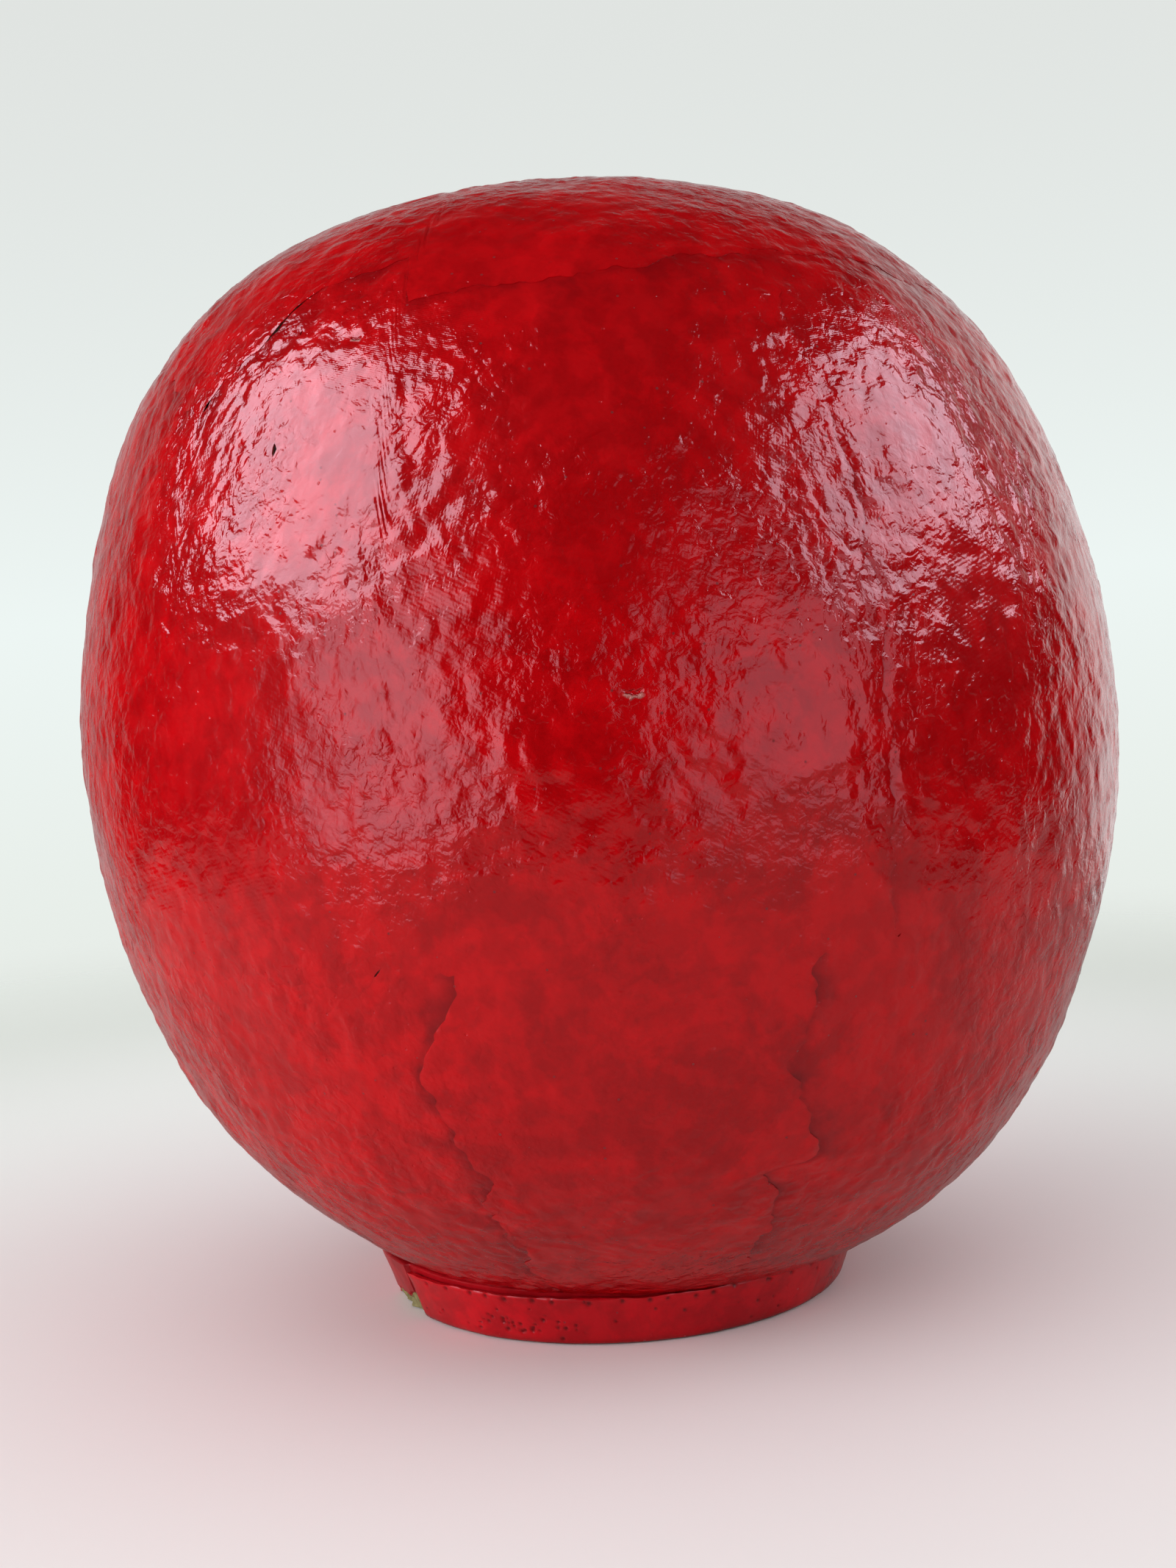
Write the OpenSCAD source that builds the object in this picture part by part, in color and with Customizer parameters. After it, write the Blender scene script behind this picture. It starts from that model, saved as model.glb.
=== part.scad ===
// Papier-mache egg shaker: a lacquered paper egg on a weighted round foot, with clay beads loose inside.
// Millimetres, +Z up. The origin is the centre of the foot's underside, and the front faces -Y.

/* [Egg] */
// Height of the whole object, from the foot's underside to the top of the crown
total_h = 170.5; // [166:0.5:175]
// Radius of the broad arc over the crown
crown_r = 157; // [140:1:175]
// Direction, from straight up, at which the crown arc hands over to the shoulder
crown_end = 10; // [8:1:12]
// Radius of the shoulder arc
shoulder_r = 58; // [56:0.5:60]
// Direction, from straight up, at which the shoulder hands over to the side
shoulder_end = 66; // [63:1:69]
// Radius of the side arc
side_r = 114; // [108:1:120]
// Direction, from straight up, at which the side hands over to the lower arc
side_end = 115; // [112:1:118]
// Radius of the lower arc, which runs down to the foot
lower_r = 66.5; // [65:0.5:68]
// Height at which the egg is flat underneath, to sit on its foot
egg_floor = 9; // [8.6:0.1:9.6]
// Turn between two points along the egg's outline
outline_step = 4; // [2:0.5:6]

/* [Paper] */
// Wall of the two moulded half shells
core_t = 1.9; // [1.8:0.1:3]
// Thickness of the liner that closes the cut between the half shells
liner_t = 0.5; // [0.3:0.1:0.7]
// Thickness of one pasted outer sheet
sheet_t = 0.6; // [0.4:0.1:0.8]
// Film of glue between two layers
glue = 0.2; // [0.15:0.05:0.25]
// Gap between the edges of two neighbouring sheets
edge_gap = 0.3; // [0.2:0.1:0.6]
// Direction, from straight up, of the edge between the upper and the lower sheets
waist_a = 104; // [90:1:108]
// Direction, from straight up, of the crown patch's edge
patch_a = 48; // [40:1:54]

/* [Foot] */
// Radius of the clay weight at its underside
foot_r_low = 35.1; // [34.6:0.1:35.4]
// Radius of the clay weight at its top
foot_r_top = 37.1; // [36.6:0.1:37.4]
// Thickness of the paper disc that closes the underside
base_t = 0.8; // [0.6:0.1:1.2]
// Thickness of the strip pasted round the foot
strip_t = 0.75; // [0.6:0.05:1]
// Height above the ground at which the strip begins
strip_z0 = 0.5; // [0.3:0.1:0.8]
// Height above the ground at which the strip ends
strip_z1 = 7.4; // [7:0.1:7.8]

/* [Beads] */
// Radius of one clay bead
bead_r = 4.5; // [3.5:0.1:4.5]
// Clearance under and beside a resting bead
bead_gap = 0.3; // [0.3:0.05:0.5]
// Radius of the inner ring of resting beads
inner_ring_r = 14; // [13:0.5:15]

/* [Hidden] */
$fn = 96;

// How many of each numbered piece there are
lower_count = 10;
upper_count = 6;
inner_count = 5;
outer_count = 7;

// Names of a row of pieces that one module makes, such as bead_outer_1 and bead_outer_2
function numbered(name, count) = [for (i = [1:count]) str(name, "_", i)];

lacquer_red = [0.72, 0.03, 0.05];
raw_paper = [0.80, 0.74, 0.62];
clay_tan = [0.66, 0.55, 0.38];
bead_clay = [0.62, 0.38, 0.26];

// Layers of the wall, as distances inwards from the egg's outer face
liner_out = sheet_t + glue;
liner_in = liner_out + liner_t;
core_out = liner_in + glue;
core_in = core_out + core_t;

// The point that lies dist away from c in the direction a from straight up. Points are [radius, height].
function along(c, dist, a) = [c[0] + dist * sin(a), c[1] + dist * cos(a)];

// Centres of the four arcs. Each arc meets the next on a common normal, so a centre is the one before it,
// moved along that normal by the difference of the two radii.
crown_c = [0, total_h - crown_r];
shoulder_c = along(crown_c, crown_r - shoulder_r, crown_end);
side_c = along(shoulder_c, shoulder_r - side_r, shoulder_end);
lower_c = along(side_c, side_r - lower_r, side_end);

// Point of the outline where the surface faces the direction a, taken inwards by inset
function egg_point(a, inset) =
    a <= crown_end ? along(crown_c, crown_r - inset, a)
    : a <= shoulder_end ? along(shoulder_c, shoulder_r - inset, a)
    : a <= side_end ? along(side_c, side_r - inset, a)
    : along(lower_c, lower_r - inset, a);

// The outline between two directions, at equal steps of about outline_step
function outline(a0, a1, inset) =
    let (steps = ceil((a1 - a0) / outline_step))
    [for (i = [0:steps]) egg_point(a0 + (a1 - a0) * i / steps, inset)];

function reversed(points) = [for (i = [len(points) - 1:-1:0]) points[i]];

// Direction in which the lower arc, taken inwards by inset, faces at height z
function floor_a(inset, z) = 180 - acos((lower_c[1] - z) / (lower_r - inset));

// Height of the chamber's flat floor, and of a resting bead's centre
chamber_floor = egg_floor + core_t;
bead_z = chamber_floor + bead_gap + bead_r;
// An outer bead rests in the corner of the floor and the wall, and rolls up the wall round the lower
// arc's centre
bead_track_r = lower_r - core_in - bead_gap - bead_r;
outer_ring_r = lower_c[0] + sqrt(pow(bead_track_r, 2) - pow(lower_c[1] - bead_z, 2));

// Directions about the axis: 0 is +X, and the front is -90
front = -90;
lower_turn = 360 / lower_count;
upper_turn = 360 / upper_count;
liner_turn = 90;
// The gap between two edges, as a turn about the axis at the egg's widest
gap_turn = edge_gap / (side_c[0] + side_r) * 180 / PI;
// The same gap as a turn along the outline of the side
gap_a = edge_gap / side_r * 180 / PI;
// The middle of the first sheet of each row
first_lower_sheet = front + 1;
first_upper_sheet = front - 2;
// The strip round the foot is three lengths, end to end. It leaves a stretch bare to the left of the front.
strip_ends = [front - 59, front + 53, front + 159, front + 265];
first_inner_bead = front + 20;
first_outer_bead = front + 6;

// A section turned about the axis, centred on a direction and spanning a turn less one gap
module turned(middle, turn) {
    rotate([0, 0, middle - (turn - gap_turn) / 2]) rotate_extrude(angle = turn - gap_turn) children();
}

// Section of one layer of paper between two directions of the outline
module layer_section(outer, inner, a0, a1) {
    polygon(concat(outline(a0, a1, outer), reversed(outline(a0, a1, inner))));
}

// Half of the moulded egg, with its flat floor. The egg was cut off its mould in two halves, so each half
// is open towards the other.
module core_half() {
    rotate_extrude(angle = 180)
        polygon(concat(
            outline(0, floor_a(core_out, egg_floor), core_out),
            [[0, egg_floor], [0, chamber_floor]],
            reversed(outline(0, floor_a(core_in, chamber_floor), core_in))
        ));
}

module core_front_half() color(raw_paper) translate([0, -glue / 2, 0]) rotate([0, 0, 180]) core_half();

module core_back_half() color(raw_paper) translate([0, glue / 2, 0]) core_half();

// Quarter of the liner. The left and the right one close the cut between the half shells.
module liner_quarter(middle) {
    color(raw_paper) turned(middle, liner_turn)
        layer_section(liner_out, liner_in, crown_end, floor_a(0, egg_floor));
}

module liner_front() liner_quarter(front);

module liner_right() liner_quarter(front + liner_turn);

module liner_back() liner_quarter(front + 2 * liner_turn);

module liner_left() liner_quarter(front + 3 * liner_turn);

// Round patch where the four quarters of the liner meet
module liner_crown() {
    color(raw_paper) rotate_extrude() layer_section(liner_out, liner_in, 0, crown_end - gap_a);
}

// Sheets of the lower half. The first is at the front, and the rest follow anticlockwise.
module lower_sheet(i) {
    color(lacquer_red) turned(first_lower_sheet + (i - 1) * lower_turn, lower_turn)
        layer_section(0, sheet_t, waist_a, floor_a(0, egg_floor));
}

// Sheets of the upper half, between the waist and the crown patch
module upper_sheet(i) {
    color(lacquer_red) turned(first_upper_sheet + (i - 1) * upper_turn, upper_turn)
        layer_section(0, sheet_t, patch_a, waist_a - gap_a);
}

// Round sheet over the crown
module crown_patch() {
    color(lacquer_red) rotate_extrude() layer_section(0, sheet_t, 0, patch_a - gap_a);
}

// Radius of the clay weight's slightly flared side at a height
function foot_r(z) = foot_r_low + (foot_r_top - foot_r_low) * (z - base_t) / (egg_floor - base_t);

// Solid clay weight under the egg, which makes it stand up
module clay_weight() {
    z0 = base_t + glue;
    z1 = egg_floor - glue;
    color(clay_tan) rotate_extrude() polygon([[0, z0], [foot_r(z0), z0], [foot_r(z1), z1], [0, z1]]);
}

// Paper disc that closes the underside, and the face that the egg stands on
module base_disc() {
    color(raw_paper) cylinder(r = foot_r_low - glue, h = base_t);
}

// One length of the strip pasted round the foot, from its end i to the next
module foot_strip(i) {
    inner0 = foot_r(strip_z0) + glue;
    inner1 = foot_r(strip_z1) + glue;
    color(lacquer_red) turned((strip_ends[i] + strip_ends[i + 1]) / 2, strip_ends[i + 1] - strip_ends[i])
        polygon([
            [inner0, strip_z0], [inner0 + strip_t, strip_z0],
            [inner1 + strip_t, strip_z1], [inner1, strip_z1]
        ]);
}

module foot_strip_front() foot_strip(0);

module foot_strip_right() foot_strip(1);

module foot_strip_back() foot_strip(2);

// A loose clay bead at rest on the chamber's floor
module bead(ring_r, direction) {
    color(bead_clay) rotate([0, 0, direction]) translate([ring_r, 0, bead_z]) sphere(r = bead_r);
}

module bead_middle() bead(0, 0);

module bead_inner(i) bead(inner_ring_r, first_inner_bead + (i - 1) * 360 / inner_count);

module bead_outer(i) bead(outer_ring_r, first_outer_bead + (i - 1) * 360 / outer_count);

core_front_half();
core_back_half();
liner_front();
liner_right();
liner_back();
liner_left();
liner_crown();
for (i = [1:lower_count]) lower_sheet(i);
for (i = [1:upper_count]) upper_sheet(i);
crown_patch();
clay_weight();
base_disc();
foot_strip_front();
foot_strip_right();
foot_strip_back();
bead_middle();
for (i = [1:inner_count]) bead_inner(i);
for (i = [1:outer_count]) bead_outer(i);
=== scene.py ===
# %% [markdown]
# # An egg shaker in lacquered paper
# The shaker is a hollow egg of moulded paper on a clay foot. Torn sheets of paper are pasted over the
# egg, and thick red lacquer covers them. Thirteen clay beads lie loose inside and make the sound. This
# lesson builds each piece as a surface worked out with numpy, in millimetres, and gives it a finish made
# of shader nodes.

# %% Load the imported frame
import math

import bmesh
import bpy
import numpy as np
from mathutils import Matrix, Vector


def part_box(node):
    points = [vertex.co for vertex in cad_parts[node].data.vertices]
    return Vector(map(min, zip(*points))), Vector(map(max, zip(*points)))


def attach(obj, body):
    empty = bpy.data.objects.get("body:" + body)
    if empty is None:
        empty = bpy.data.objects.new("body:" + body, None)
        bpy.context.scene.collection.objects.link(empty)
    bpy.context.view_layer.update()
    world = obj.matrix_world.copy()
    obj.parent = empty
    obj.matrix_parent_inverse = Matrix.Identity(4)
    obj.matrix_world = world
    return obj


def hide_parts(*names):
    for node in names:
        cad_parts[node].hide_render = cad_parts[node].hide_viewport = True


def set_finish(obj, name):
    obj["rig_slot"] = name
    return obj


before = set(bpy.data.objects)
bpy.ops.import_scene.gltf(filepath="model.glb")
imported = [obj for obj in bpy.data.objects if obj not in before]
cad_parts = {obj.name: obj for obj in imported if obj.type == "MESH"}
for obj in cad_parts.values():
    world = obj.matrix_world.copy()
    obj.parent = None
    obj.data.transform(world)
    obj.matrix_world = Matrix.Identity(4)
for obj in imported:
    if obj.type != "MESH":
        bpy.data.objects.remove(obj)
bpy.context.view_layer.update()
MM = 0.001

# %% [markdown]
# ## The camera
# The egg is looked at from a little above its middle, at arm's length, with a lens slightly shorter than
# normal. The camera is hand-held, so it leans by a few degrees. Its three directions are worked out from
# the yaw, the pitch and the lean, because that is easier to check than a set of Euler angles.

# %% Camera
CAMERA_DISTANCE = 307.2
CAMERA_HEIGHT = 96.9
CAMERA_PITCH_DOWN = 3.26
CAMERA_YAW = -0.41
CAMERA_LEAN = -3.29
LENS = 43.88
SENSOR = 36.0


def camera_axes(yaw_deg, pitch_deg, lean_deg):
    """The view direction from yaw and pitch; right and up are its level partners, turned by the lean."""
    yaw, pitch, lean = np.radians([yaw_deg, pitch_deg, lean_deg])
    ahead = np.array([np.sin(yaw) * np.cos(pitch), np.cos(yaw) * np.cos(pitch), -np.sin(pitch)])
    level_right = np.array([np.cos(yaw), -np.sin(yaw), 0.0])
    level_up = np.cross(level_right, ahead)
    right = np.cos(lean) * level_right + np.sin(lean) * level_up
    up = -np.sin(lean) * level_right + np.cos(lean) * level_up
    return right, up, ahead


right, up, ahead = camera_axes(CAMERA_YAW, CAMERA_PITCH_DOWN, CAMERA_LEAN)
camera_data = bpy.data.cameras.new("camera")
camera_data.lens = LENS
camera_data.sensor_width = SENSOR
camera = bpy.data.objects.new("camera", camera_data)
bpy.context.scene.collection.objects.link(camera)
turn = Matrix((Vector(right), Vector(up), Vector(-ahead))).transposed().to_4x4()
camera.matrix_world = Matrix.Translation((0, -CAMERA_DISTANCE * MM, CAMERA_HEIGHT * MM)) @ turn
bpy.context.scene.camera = camera
bpy.context.scene.view_settings.view_transform = "Standard"
print("camera at", tuple(round(v, 3) for v in camera.location))

# %% [markdown]
# ## The egg's outline
# A moulded egg follows its wooden mould, and the mould's outline is four arcs: the flat crown, the tight
# shoulder, the long side and the lower arc that runs down to the foot. Each arc meets the next on a
# common normal, so the point where the surface faces a given direction is found without any searching.
# That direction, counted from straight up, is the first of the two parameters of every paper layer.

# %% The four arcs
CROWN_R = 157.0
CROWN_END = 10.0
SHOULDER_R = 58.0
SHOULDER_END = 66.0
SIDE_R = 114.0
SIDE_END = 115.0
LOWER_R = 66.5
TOTAL_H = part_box("crown_patch")[1].z / MM
EGG_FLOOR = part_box("lower_sheet_1")[0].z / MM


def along(centre, distance, a):
    """Radius and height of the point at a distance from a centre, a degrees from straight up."""
    a = np.radians(a)
    return centre[0] + distance * np.sin(a), centre[1] + distance * np.cos(a)


CROWN_C = (0.0, TOTAL_H - CROWN_R)
SHOULDER_C = along(CROWN_C, CROWN_R - SHOULDER_R, CROWN_END)
SIDE_C = along(SHOULDER_C, SHOULDER_R - SIDE_R, SHOULDER_END)
LOWER_C = along(SIDE_C, SIDE_R - LOWER_R, SIDE_END)
ARCS = ((CROWN_C, CROWN_R, CROWN_END), (SHOULDER_C, SHOULDER_R, SHOULDER_END),
        (SIDE_C, SIDE_R, SIDE_END), (LOWER_C, LOWER_R, 180.0))


def egg_outline(a, inset=0.0):
    """Radius and height of the layer inset below the outer face, where it faces a degrees from up."""
    a = np.asarray(a, float)
    radius = np.zeros_like(a)
    height = np.zeros_like(a)
    start = -1.0
    for centre, arc_r, end in ARCS:
        here = (a > start) & (a <= end)
        arc_radius, arc_height = along(centre, arc_r - inset, a)
        radius = np.where(here, arc_radius, radius)
        height = np.where(here, arc_height, height)
        start = end
    return radius, height


def facing_at_height(z, inset=0.0):
    """The direction in which the lower arc faces at height z."""
    return 180.0 - math.degrees(math.acos((LOWER_C[1] - z) / (LOWER_R - inset)))


FLOOR_A = facing_at_height(EGG_FLOOR)
print("widest radius", round(float(egg_outline(90.0)[0]), 2), "mm; the egg ends facing", round(FLOOR_A, 1))

# %% [markdown]
# ## Noise for handwork
# Paste, wet paper and thick lacquer never lie flat. All their unevenness comes from one smooth noise:
# each corner of a lattice gets a random value from its own whole-number position, and the values are
# blended between the corners. The same place always gives the same value, so neighbouring sheets share
# their dents without a seam.

# %% Smooth noise
HASH_X, HASH_Y, HASH_Z = (np.uint32(v) for v in (0x8DA6B343, 0xD8163841, 0xCB1AB31F))
HASH_SEED = 0x9E3779B9


def corner_value(ix, iy, iz, seed):
    """A random value from -1 to 1 for each lattice corner, by mixing the bits of its position."""
    mixed = (ix * HASH_X) ^ (iy * HASH_Y) ^ (iz * HASH_Z) ^ np.uint32((seed * HASH_SEED) & 0xFFFFFFFF)
    mixed ^= mixed >> np.uint32(13)
    mixed *= np.uint32(0x5BD1E995)
    mixed ^= mixed >> np.uint32(15)
    return mixed.astype(np.float32) / np.float32(2**31) - np.float32(1.0)


def noise(points, wavelength, seed):
    """Corner values blended over a lattice of half the wavelength, turned to line up with nothing."""
    tilt = np.array([[0.80, 0.52, 0.30], [-0.60, 0.69, 0.41], [0.01, -0.50, 0.86]]).T
    cell = (points @ tilt) / (wavelength / 2.0) + seed * 7.31 + 900.0
    low = np.floor(cell)
    part = (cell - low).astype(np.float32)
    ease = part * part * part * (part * (part * 6.0 - 15.0) + 10.0)
    ix, iy, iz = (low[..., k].astype(np.uint32) for k in range(3))
    total = np.zeros(points.shape[:-1], np.float32)
    for corner in range(8):
        dx, dy, dz = corner & 1, (corner >> 1) & 1, corner >> 2
        weight = (ease[..., 0] if dx else 1 - ease[..., 0])
        weight = weight * (ease[..., 1] if dy else 1 - ease[..., 1])
        weight = weight * (ease[..., 2] if dz else 1 - ease[..., 2])
        total += weight * corner_value(ix + np.uint32(dx), iy + np.uint32(dy), iz + np.uint32(dz), seed)
    return total


def smooth(x):
    """An S-shaped rise from 0 at x = 0 to 1 at x = 1."""
    x = np.clip(x, 0.0, 1.0)
    return x * x * (3.0 - 2.0 * x)


print("noise at one point:", round(float(noise(np.array([[1.0, 2.0, 3.0]]), 5.0, 1)[0]), 3))

# %% [markdown]
# ## Lean and hand-made relief
# The real egg stands a little crooked: near the foot its middle lies to the right, and the crown lies to
# the left. On top of that come shallow dents, then creases where damp paper was pressed over a round
# form, then a fine crumple. The creases are a folded noise: where the noise passes through zero there is
# a sharp valley. They are stretched along one slanting direction, as paper smoothed by hand upwards and
# forwards would be.

# %% Lean and relief
LEAN = ((0, 0.9), (9, 2.3), (16, 2.1), (27, 1.3), (45, 0.7), (70, 0.3), (95, -0.1), (120, -0.6), (140, -1.5),
        (171, -1.9))
STROKE = np.array([0.0, -0.66, 0.75])


def lean_at(z):
    """How far the egg's middle is moved to the right at height z, smoothly between a few measured heights."""
    heights, shifts = np.array(LEAN, float).T
    fine = np.linspace(heights[0], heights[-1], 80)
    shift = np.interp(fine, heights, shifts)
    shift = np.convolve(np.pad(shift, 4, mode="edge"), np.ones(9) / 9, mode="valid")
    return np.interp(z, fine, shift)


def egg_direction(phi, a):
    """The outward direction, phi degrees round from the front (right is positive) and a from straight up."""
    phi, a = np.radians(phi), np.radians(a)
    return np.stack([np.sin(a) * np.sin(phi), -np.sin(a) * np.cos(phi), np.cos(a)], -1)


def egg_place(phi, a, inset=0.0):
    """A point of a layer: its outline point, carried round the axis, without the lean."""
    phi, a = np.broadcast_arrays(phi, a)
    radius, height = egg_outline(a, inset)
    return np.stack([radius * np.sin(np.radians(phi)), -radius * np.cos(np.radians(phi)), height], -1)


def leaned(points):
    """The same points, moved sideways by the lean at their height."""
    moved = points.copy()
    moved[..., 0] += lean_at(points[..., 2])
    return moved


def stroked(points, stretch):
    """The points squeezed along the stroke, so that any noise read there comes out stretched along it."""
    along_stroke = points @ STROKE
    return points - (1.0 - 1.0 / stretch) * along_stroke[..., None] * STROKE


def dents(points):
    """Shallow hollows and swellings, 14 to 50 mm across, shared by every layer of paper."""
    return 0.34 * noise(points, 50.0, 1) + 0.22 * noise(points, 24.0, 2) + 0.07 * noise(points, 14.0, 3)


def creases(points):
    """Valleys where a noise passes through zero, its place shifted by a second noise to bend them."""
    shift = np.stack([noise(points, 8.0, seed) for seed in (4, 5, 6)], -1)
    bent = stroked(points + 2.0 * shift, 1.5)
    wide = np.abs(noise(bent, 10.5, 7))
    narrow = np.abs(noise(bent, 5.0, 8))
    patchy = 0.55 + 0.45 * smooth(0.5 + 0.9 * noise(points, 32.0, 9))
    fold_wide = np.sqrt(wide * wide + 0.012) * 0.17
    fold_narrow = np.sqrt(narrow * narrow + 0.025) * 0.27
    return (fold_wide + fold_narrow) * patchy


def crumple(points):
    """Fine unevenness, 2 to 4 mm across, stronger in some places than in others."""
    where = 0.5 + 0.5 * smooth(0.5 + noise(points, 26.0, 10))
    return where * (0.095 * noise(points, 3.7, 11) + 0.040 * noise(stroked(points, 1.4), 2.2, 12))


# %% [markdown]
# Older layers end under the outer sheets, and each makes a long soft step. The surface also has a few
# marks of its own: a nick with a raised lip, a chip on the shoulder, a pimple where a grain is caught
# under the lacquer, and a burst bubble. A mark is a small hill or hollow round a point of the surface.
# The nick and the chip get their sharp, worn lips later, in the lacquer's material, because those are
# finer than the mesh.

# %% Steps and marks
HIDDEN_EDGES = ((27.0, 62.0, 100.0, 0.16), (36.5, 79.0, 96.0, 0.13), (30.0, 103.0, 125.0, 0.10),
                (-58.0, 60.0, 96.0, 0.14), (75.0, 58.0, 90.0, 0.15), (128.0, 64.0, 118.0, 0.16),
                (-104.0, 70.0, 112.0, 0.15), (-150.0, 62.0, 99.0, 0.16), (172.0, 78.0, 120.0, 0.13))
MARKS = {"nick": (3.2, 86.9), "chip": (-23.6, 58.4), "pimple": (-46.3, 85.0), "bubble": (-30.3, 68.9)}


def hidden_steps(phi, a, points):
    """Steps along the buried edges, which wander and fade away at both ends, and a thin dark line at each
    step's foot, painted for pooled lacquer and shade.
    """
    wander = 1.3 * noise(points, 13.0, 13) + 0.8 * noise(points, 4.5, 14) + 0.4 * noise(points, 2.1, 20)
    radius = np.hypot(points[..., 0], points[..., 1])
    total = np.zeros(phi.shape)
    blotch = np.zeros(phi.shape)
    for edge_phi, a_top, a_bottom, height in HIDDEN_EDGES:
        across = ((phi - edge_phi + 180.0) % 360.0 - 180.0) * np.radians(1.0) * radius + wander
        ends = smooth((a - a_top) / 5.0) * smooth((a_bottom - a) / 5.0)
        total += height * ends * (smooth(0.5 + across / 0.9) - smooth(0.5 + across / 12.0))
        # Painted shade with pooled lacquer: a thin dark line at the foot of each buried step, short on the
        # raised side and longer on the low side.
        blotch = np.maximum(blotch, ends * np.exp(-np.where(across > 0, across / 0.35, -across / 1.6)))
    return total, blotch


def across_mark(name, phi, a, points):
    """Millimetres to the right of a mark and below it, along the surface."""
    mark_phi, mark_a = MARKS[name]
    radius = np.hypot(points[..., 0], points[..., 1])
    outline_r = SHOULDER_R if mark_a < SHOULDER_END else SIDE_R
    return np.radians(phi - mark_phi) * radius, np.radians(a - mark_a) * outline_r


def hill(x, y, wide, tall):
    """A round-topped hill of height 1, with its half widths across and down."""
    return np.exp(-(x / wide) ** 2 - (y / tall) ** 2)


def marks(phi, a, points):
    """The hollows round the nick and the chip, the pimple and the bubble, as heights."""
    x, y = across_mark("nick", phi, a, points)
    nick = 0.12 * hill(x, y - 0.8, 1.6, 0.7) - 0.18 * hill(x, y + 0.3, 1.6, 0.7)
    x, y = across_mark("chip", phi, a, points)
    chip = -0.30 * hill(x, y - 0.1, 1.0, 0.7)
    crack = -0.30 * np.exp(-((x - 0.9 + 0.75 * (y + 0.2)) / 0.4) ** 2 - ((y + 1.4) / 2.2) ** 4)
    x, y = across_mark("pimple", phi, a, points)
    pimple = 0.42 * hill(x, y, 0.45, 0.6) - 0.16 * hill(x, y + 1.7, 0.4, 1.2)
    x, y = across_mark("bubble", phi, a, points)
    ring = np.hypot(x, y)
    bubble = 0.10 * np.exp(-((ring - 0.42) / 0.16) ** 2) - 0.16 * np.exp(-(ring / 0.28) ** 2)
    return nick + chip + crack + pimple + bubble


def relief(phi, a, points):
    """Everything that lifts or lowers the lacquered skin, in millimetres along its outward direction."""
    steps = hidden_steps(phi, a, points)[0]
    return dents(points) + creases(points) + crumple(points) + steps + marks(phi, a, points)


sample_phi, sample_a = np.meshgrid(np.linspace(-180, 180, 400), np.linspace(20, 150, 200), indexing="ij")
sample_relief = relief(sample_phi, sample_a, egg_place(sample_phi, sample_a))
print("relief from", round(float(sample_relief.min()), 2), "to", round(float(sample_relief.max()), 2), "mm")

# %% [markdown]
# ## Turning arrays into pieces
# A sheet is two grids of points, its outer face and its inner face, with the same rows and columns. Four
# narrow bands close the edges between them. A lump, such as a bead, is a stack of rings from one pole to
# the other. Both helpers write the whole mesh at once with foreach_set, and store the sheet's own
# coordinates as a UV map in metres, so that a weave can follow the paper.

# %% Mesh helpers
SHARP_TURN = 50.0


def new_mesh(name, points_mm, quads, uv=None, extra=None):
    """A mesh object at the origin, from points in millimetres and quads, with UV and point attributes."""
    mesh = bpy.data.meshes.new(name)
    mesh.vertices.add(len(points_mm))
    mesh.vertices.foreach_set("co", (points_mm * MM).astype(np.float32).ravel())
    mesh.loops.add(quads.size)
    mesh.loops.foreach_set("vertex_index", quads.astype(np.int32).ravel())
    mesh.polygons.add(len(quads))
    mesh.polygons.foreach_set("loop_start", np.arange(0, quads.size, 4, dtype=np.int32))
    mesh.polygons.foreach_set("use_smooth", np.ones(len(quads), bool))
    mesh.update(calc_edges=True)
    if uv is not None:
        layer = mesh.uv_layers.new(name="UVMap")
        layer.data.foreach_set("uv", (uv[quads.ravel()] * MM).astype(np.float32).ravel())
    for attribute_name, values in (extra or {}).items():
        attribute = mesh.attributes.new(attribute_name, "FLOAT", "POINT")
        attribute.data.foreach_set("value", values.astype(np.float32).ravel())
    mesh.validate()
    piece = bpy.data.objects.new(name, mesh)
    bpy.context.scene.collection.objects.link(piece)
    return piece


def grid_quads(rows, columns, first=0):
    """Corner numbers of a grid's cells, facing outwards when rows go down and columns go right."""
    index = first + np.arange(rows * columns).reshape(rows, columns)
    cells = [index[:-1, :-1], index[1:, :-1], index[1:, 1:], index[:-1, 1:]]
    return np.stack(cells, -1).reshape(-1, 4)


def close_poles(piece):
    """Merges the points that meet at a pole or a seam, so that the surface is closed there."""
    work = bmesh.new()
    work.from_mesh(piece.data)
    bmesh.ops.remove_doubles(work, verts=work.verts, dist=2e-7)
    bmesh.ops.dissolve_degenerate(work, edges=work.edges, dist=1e-8)
    work.to_mesh(piece.data)
    work.free()


def sheet_mesh(name, outer, inner, uv=None, extra=None, merge=False):
    """A thin closed shell: the outer grid, the inner grid turned round, and a band along each edge."""
    rows, columns = outer.shape[:2]
    index = np.arange(rows * columns).reshape(rows, columns)
    outside = grid_quads(rows, columns)
    inside = grid_quads(rows, columns, rows * columns)[:, ::-1]
    loop = np.concatenate([index[:, 0], index[-1, 1:], index[-2::-1, -1], index[0, -2::-1]])
    start, end = loop[:-1], loop[1:]
    bands = np.stack([end, start, start + rows * columns, end + rows * columns], -1)
    points = np.concatenate([outer.reshape(-1, 3), inner.reshape(-1, 3)])
    both = None if uv is None else np.concatenate([uv.reshape(-1, 2)] * 2)
    doubled = {key: np.concatenate([values.ravel()] * 2) for key, values in (extra or {}).items()}
    piece = new_mesh(name, points, np.concatenate([outside, inside, bands]), both, doubled)
    if merge:
        close_poles(piece)
    piece.data.set_sharp_from_angle(angle=math.radians(SHARP_TURN))
    return piece


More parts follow.
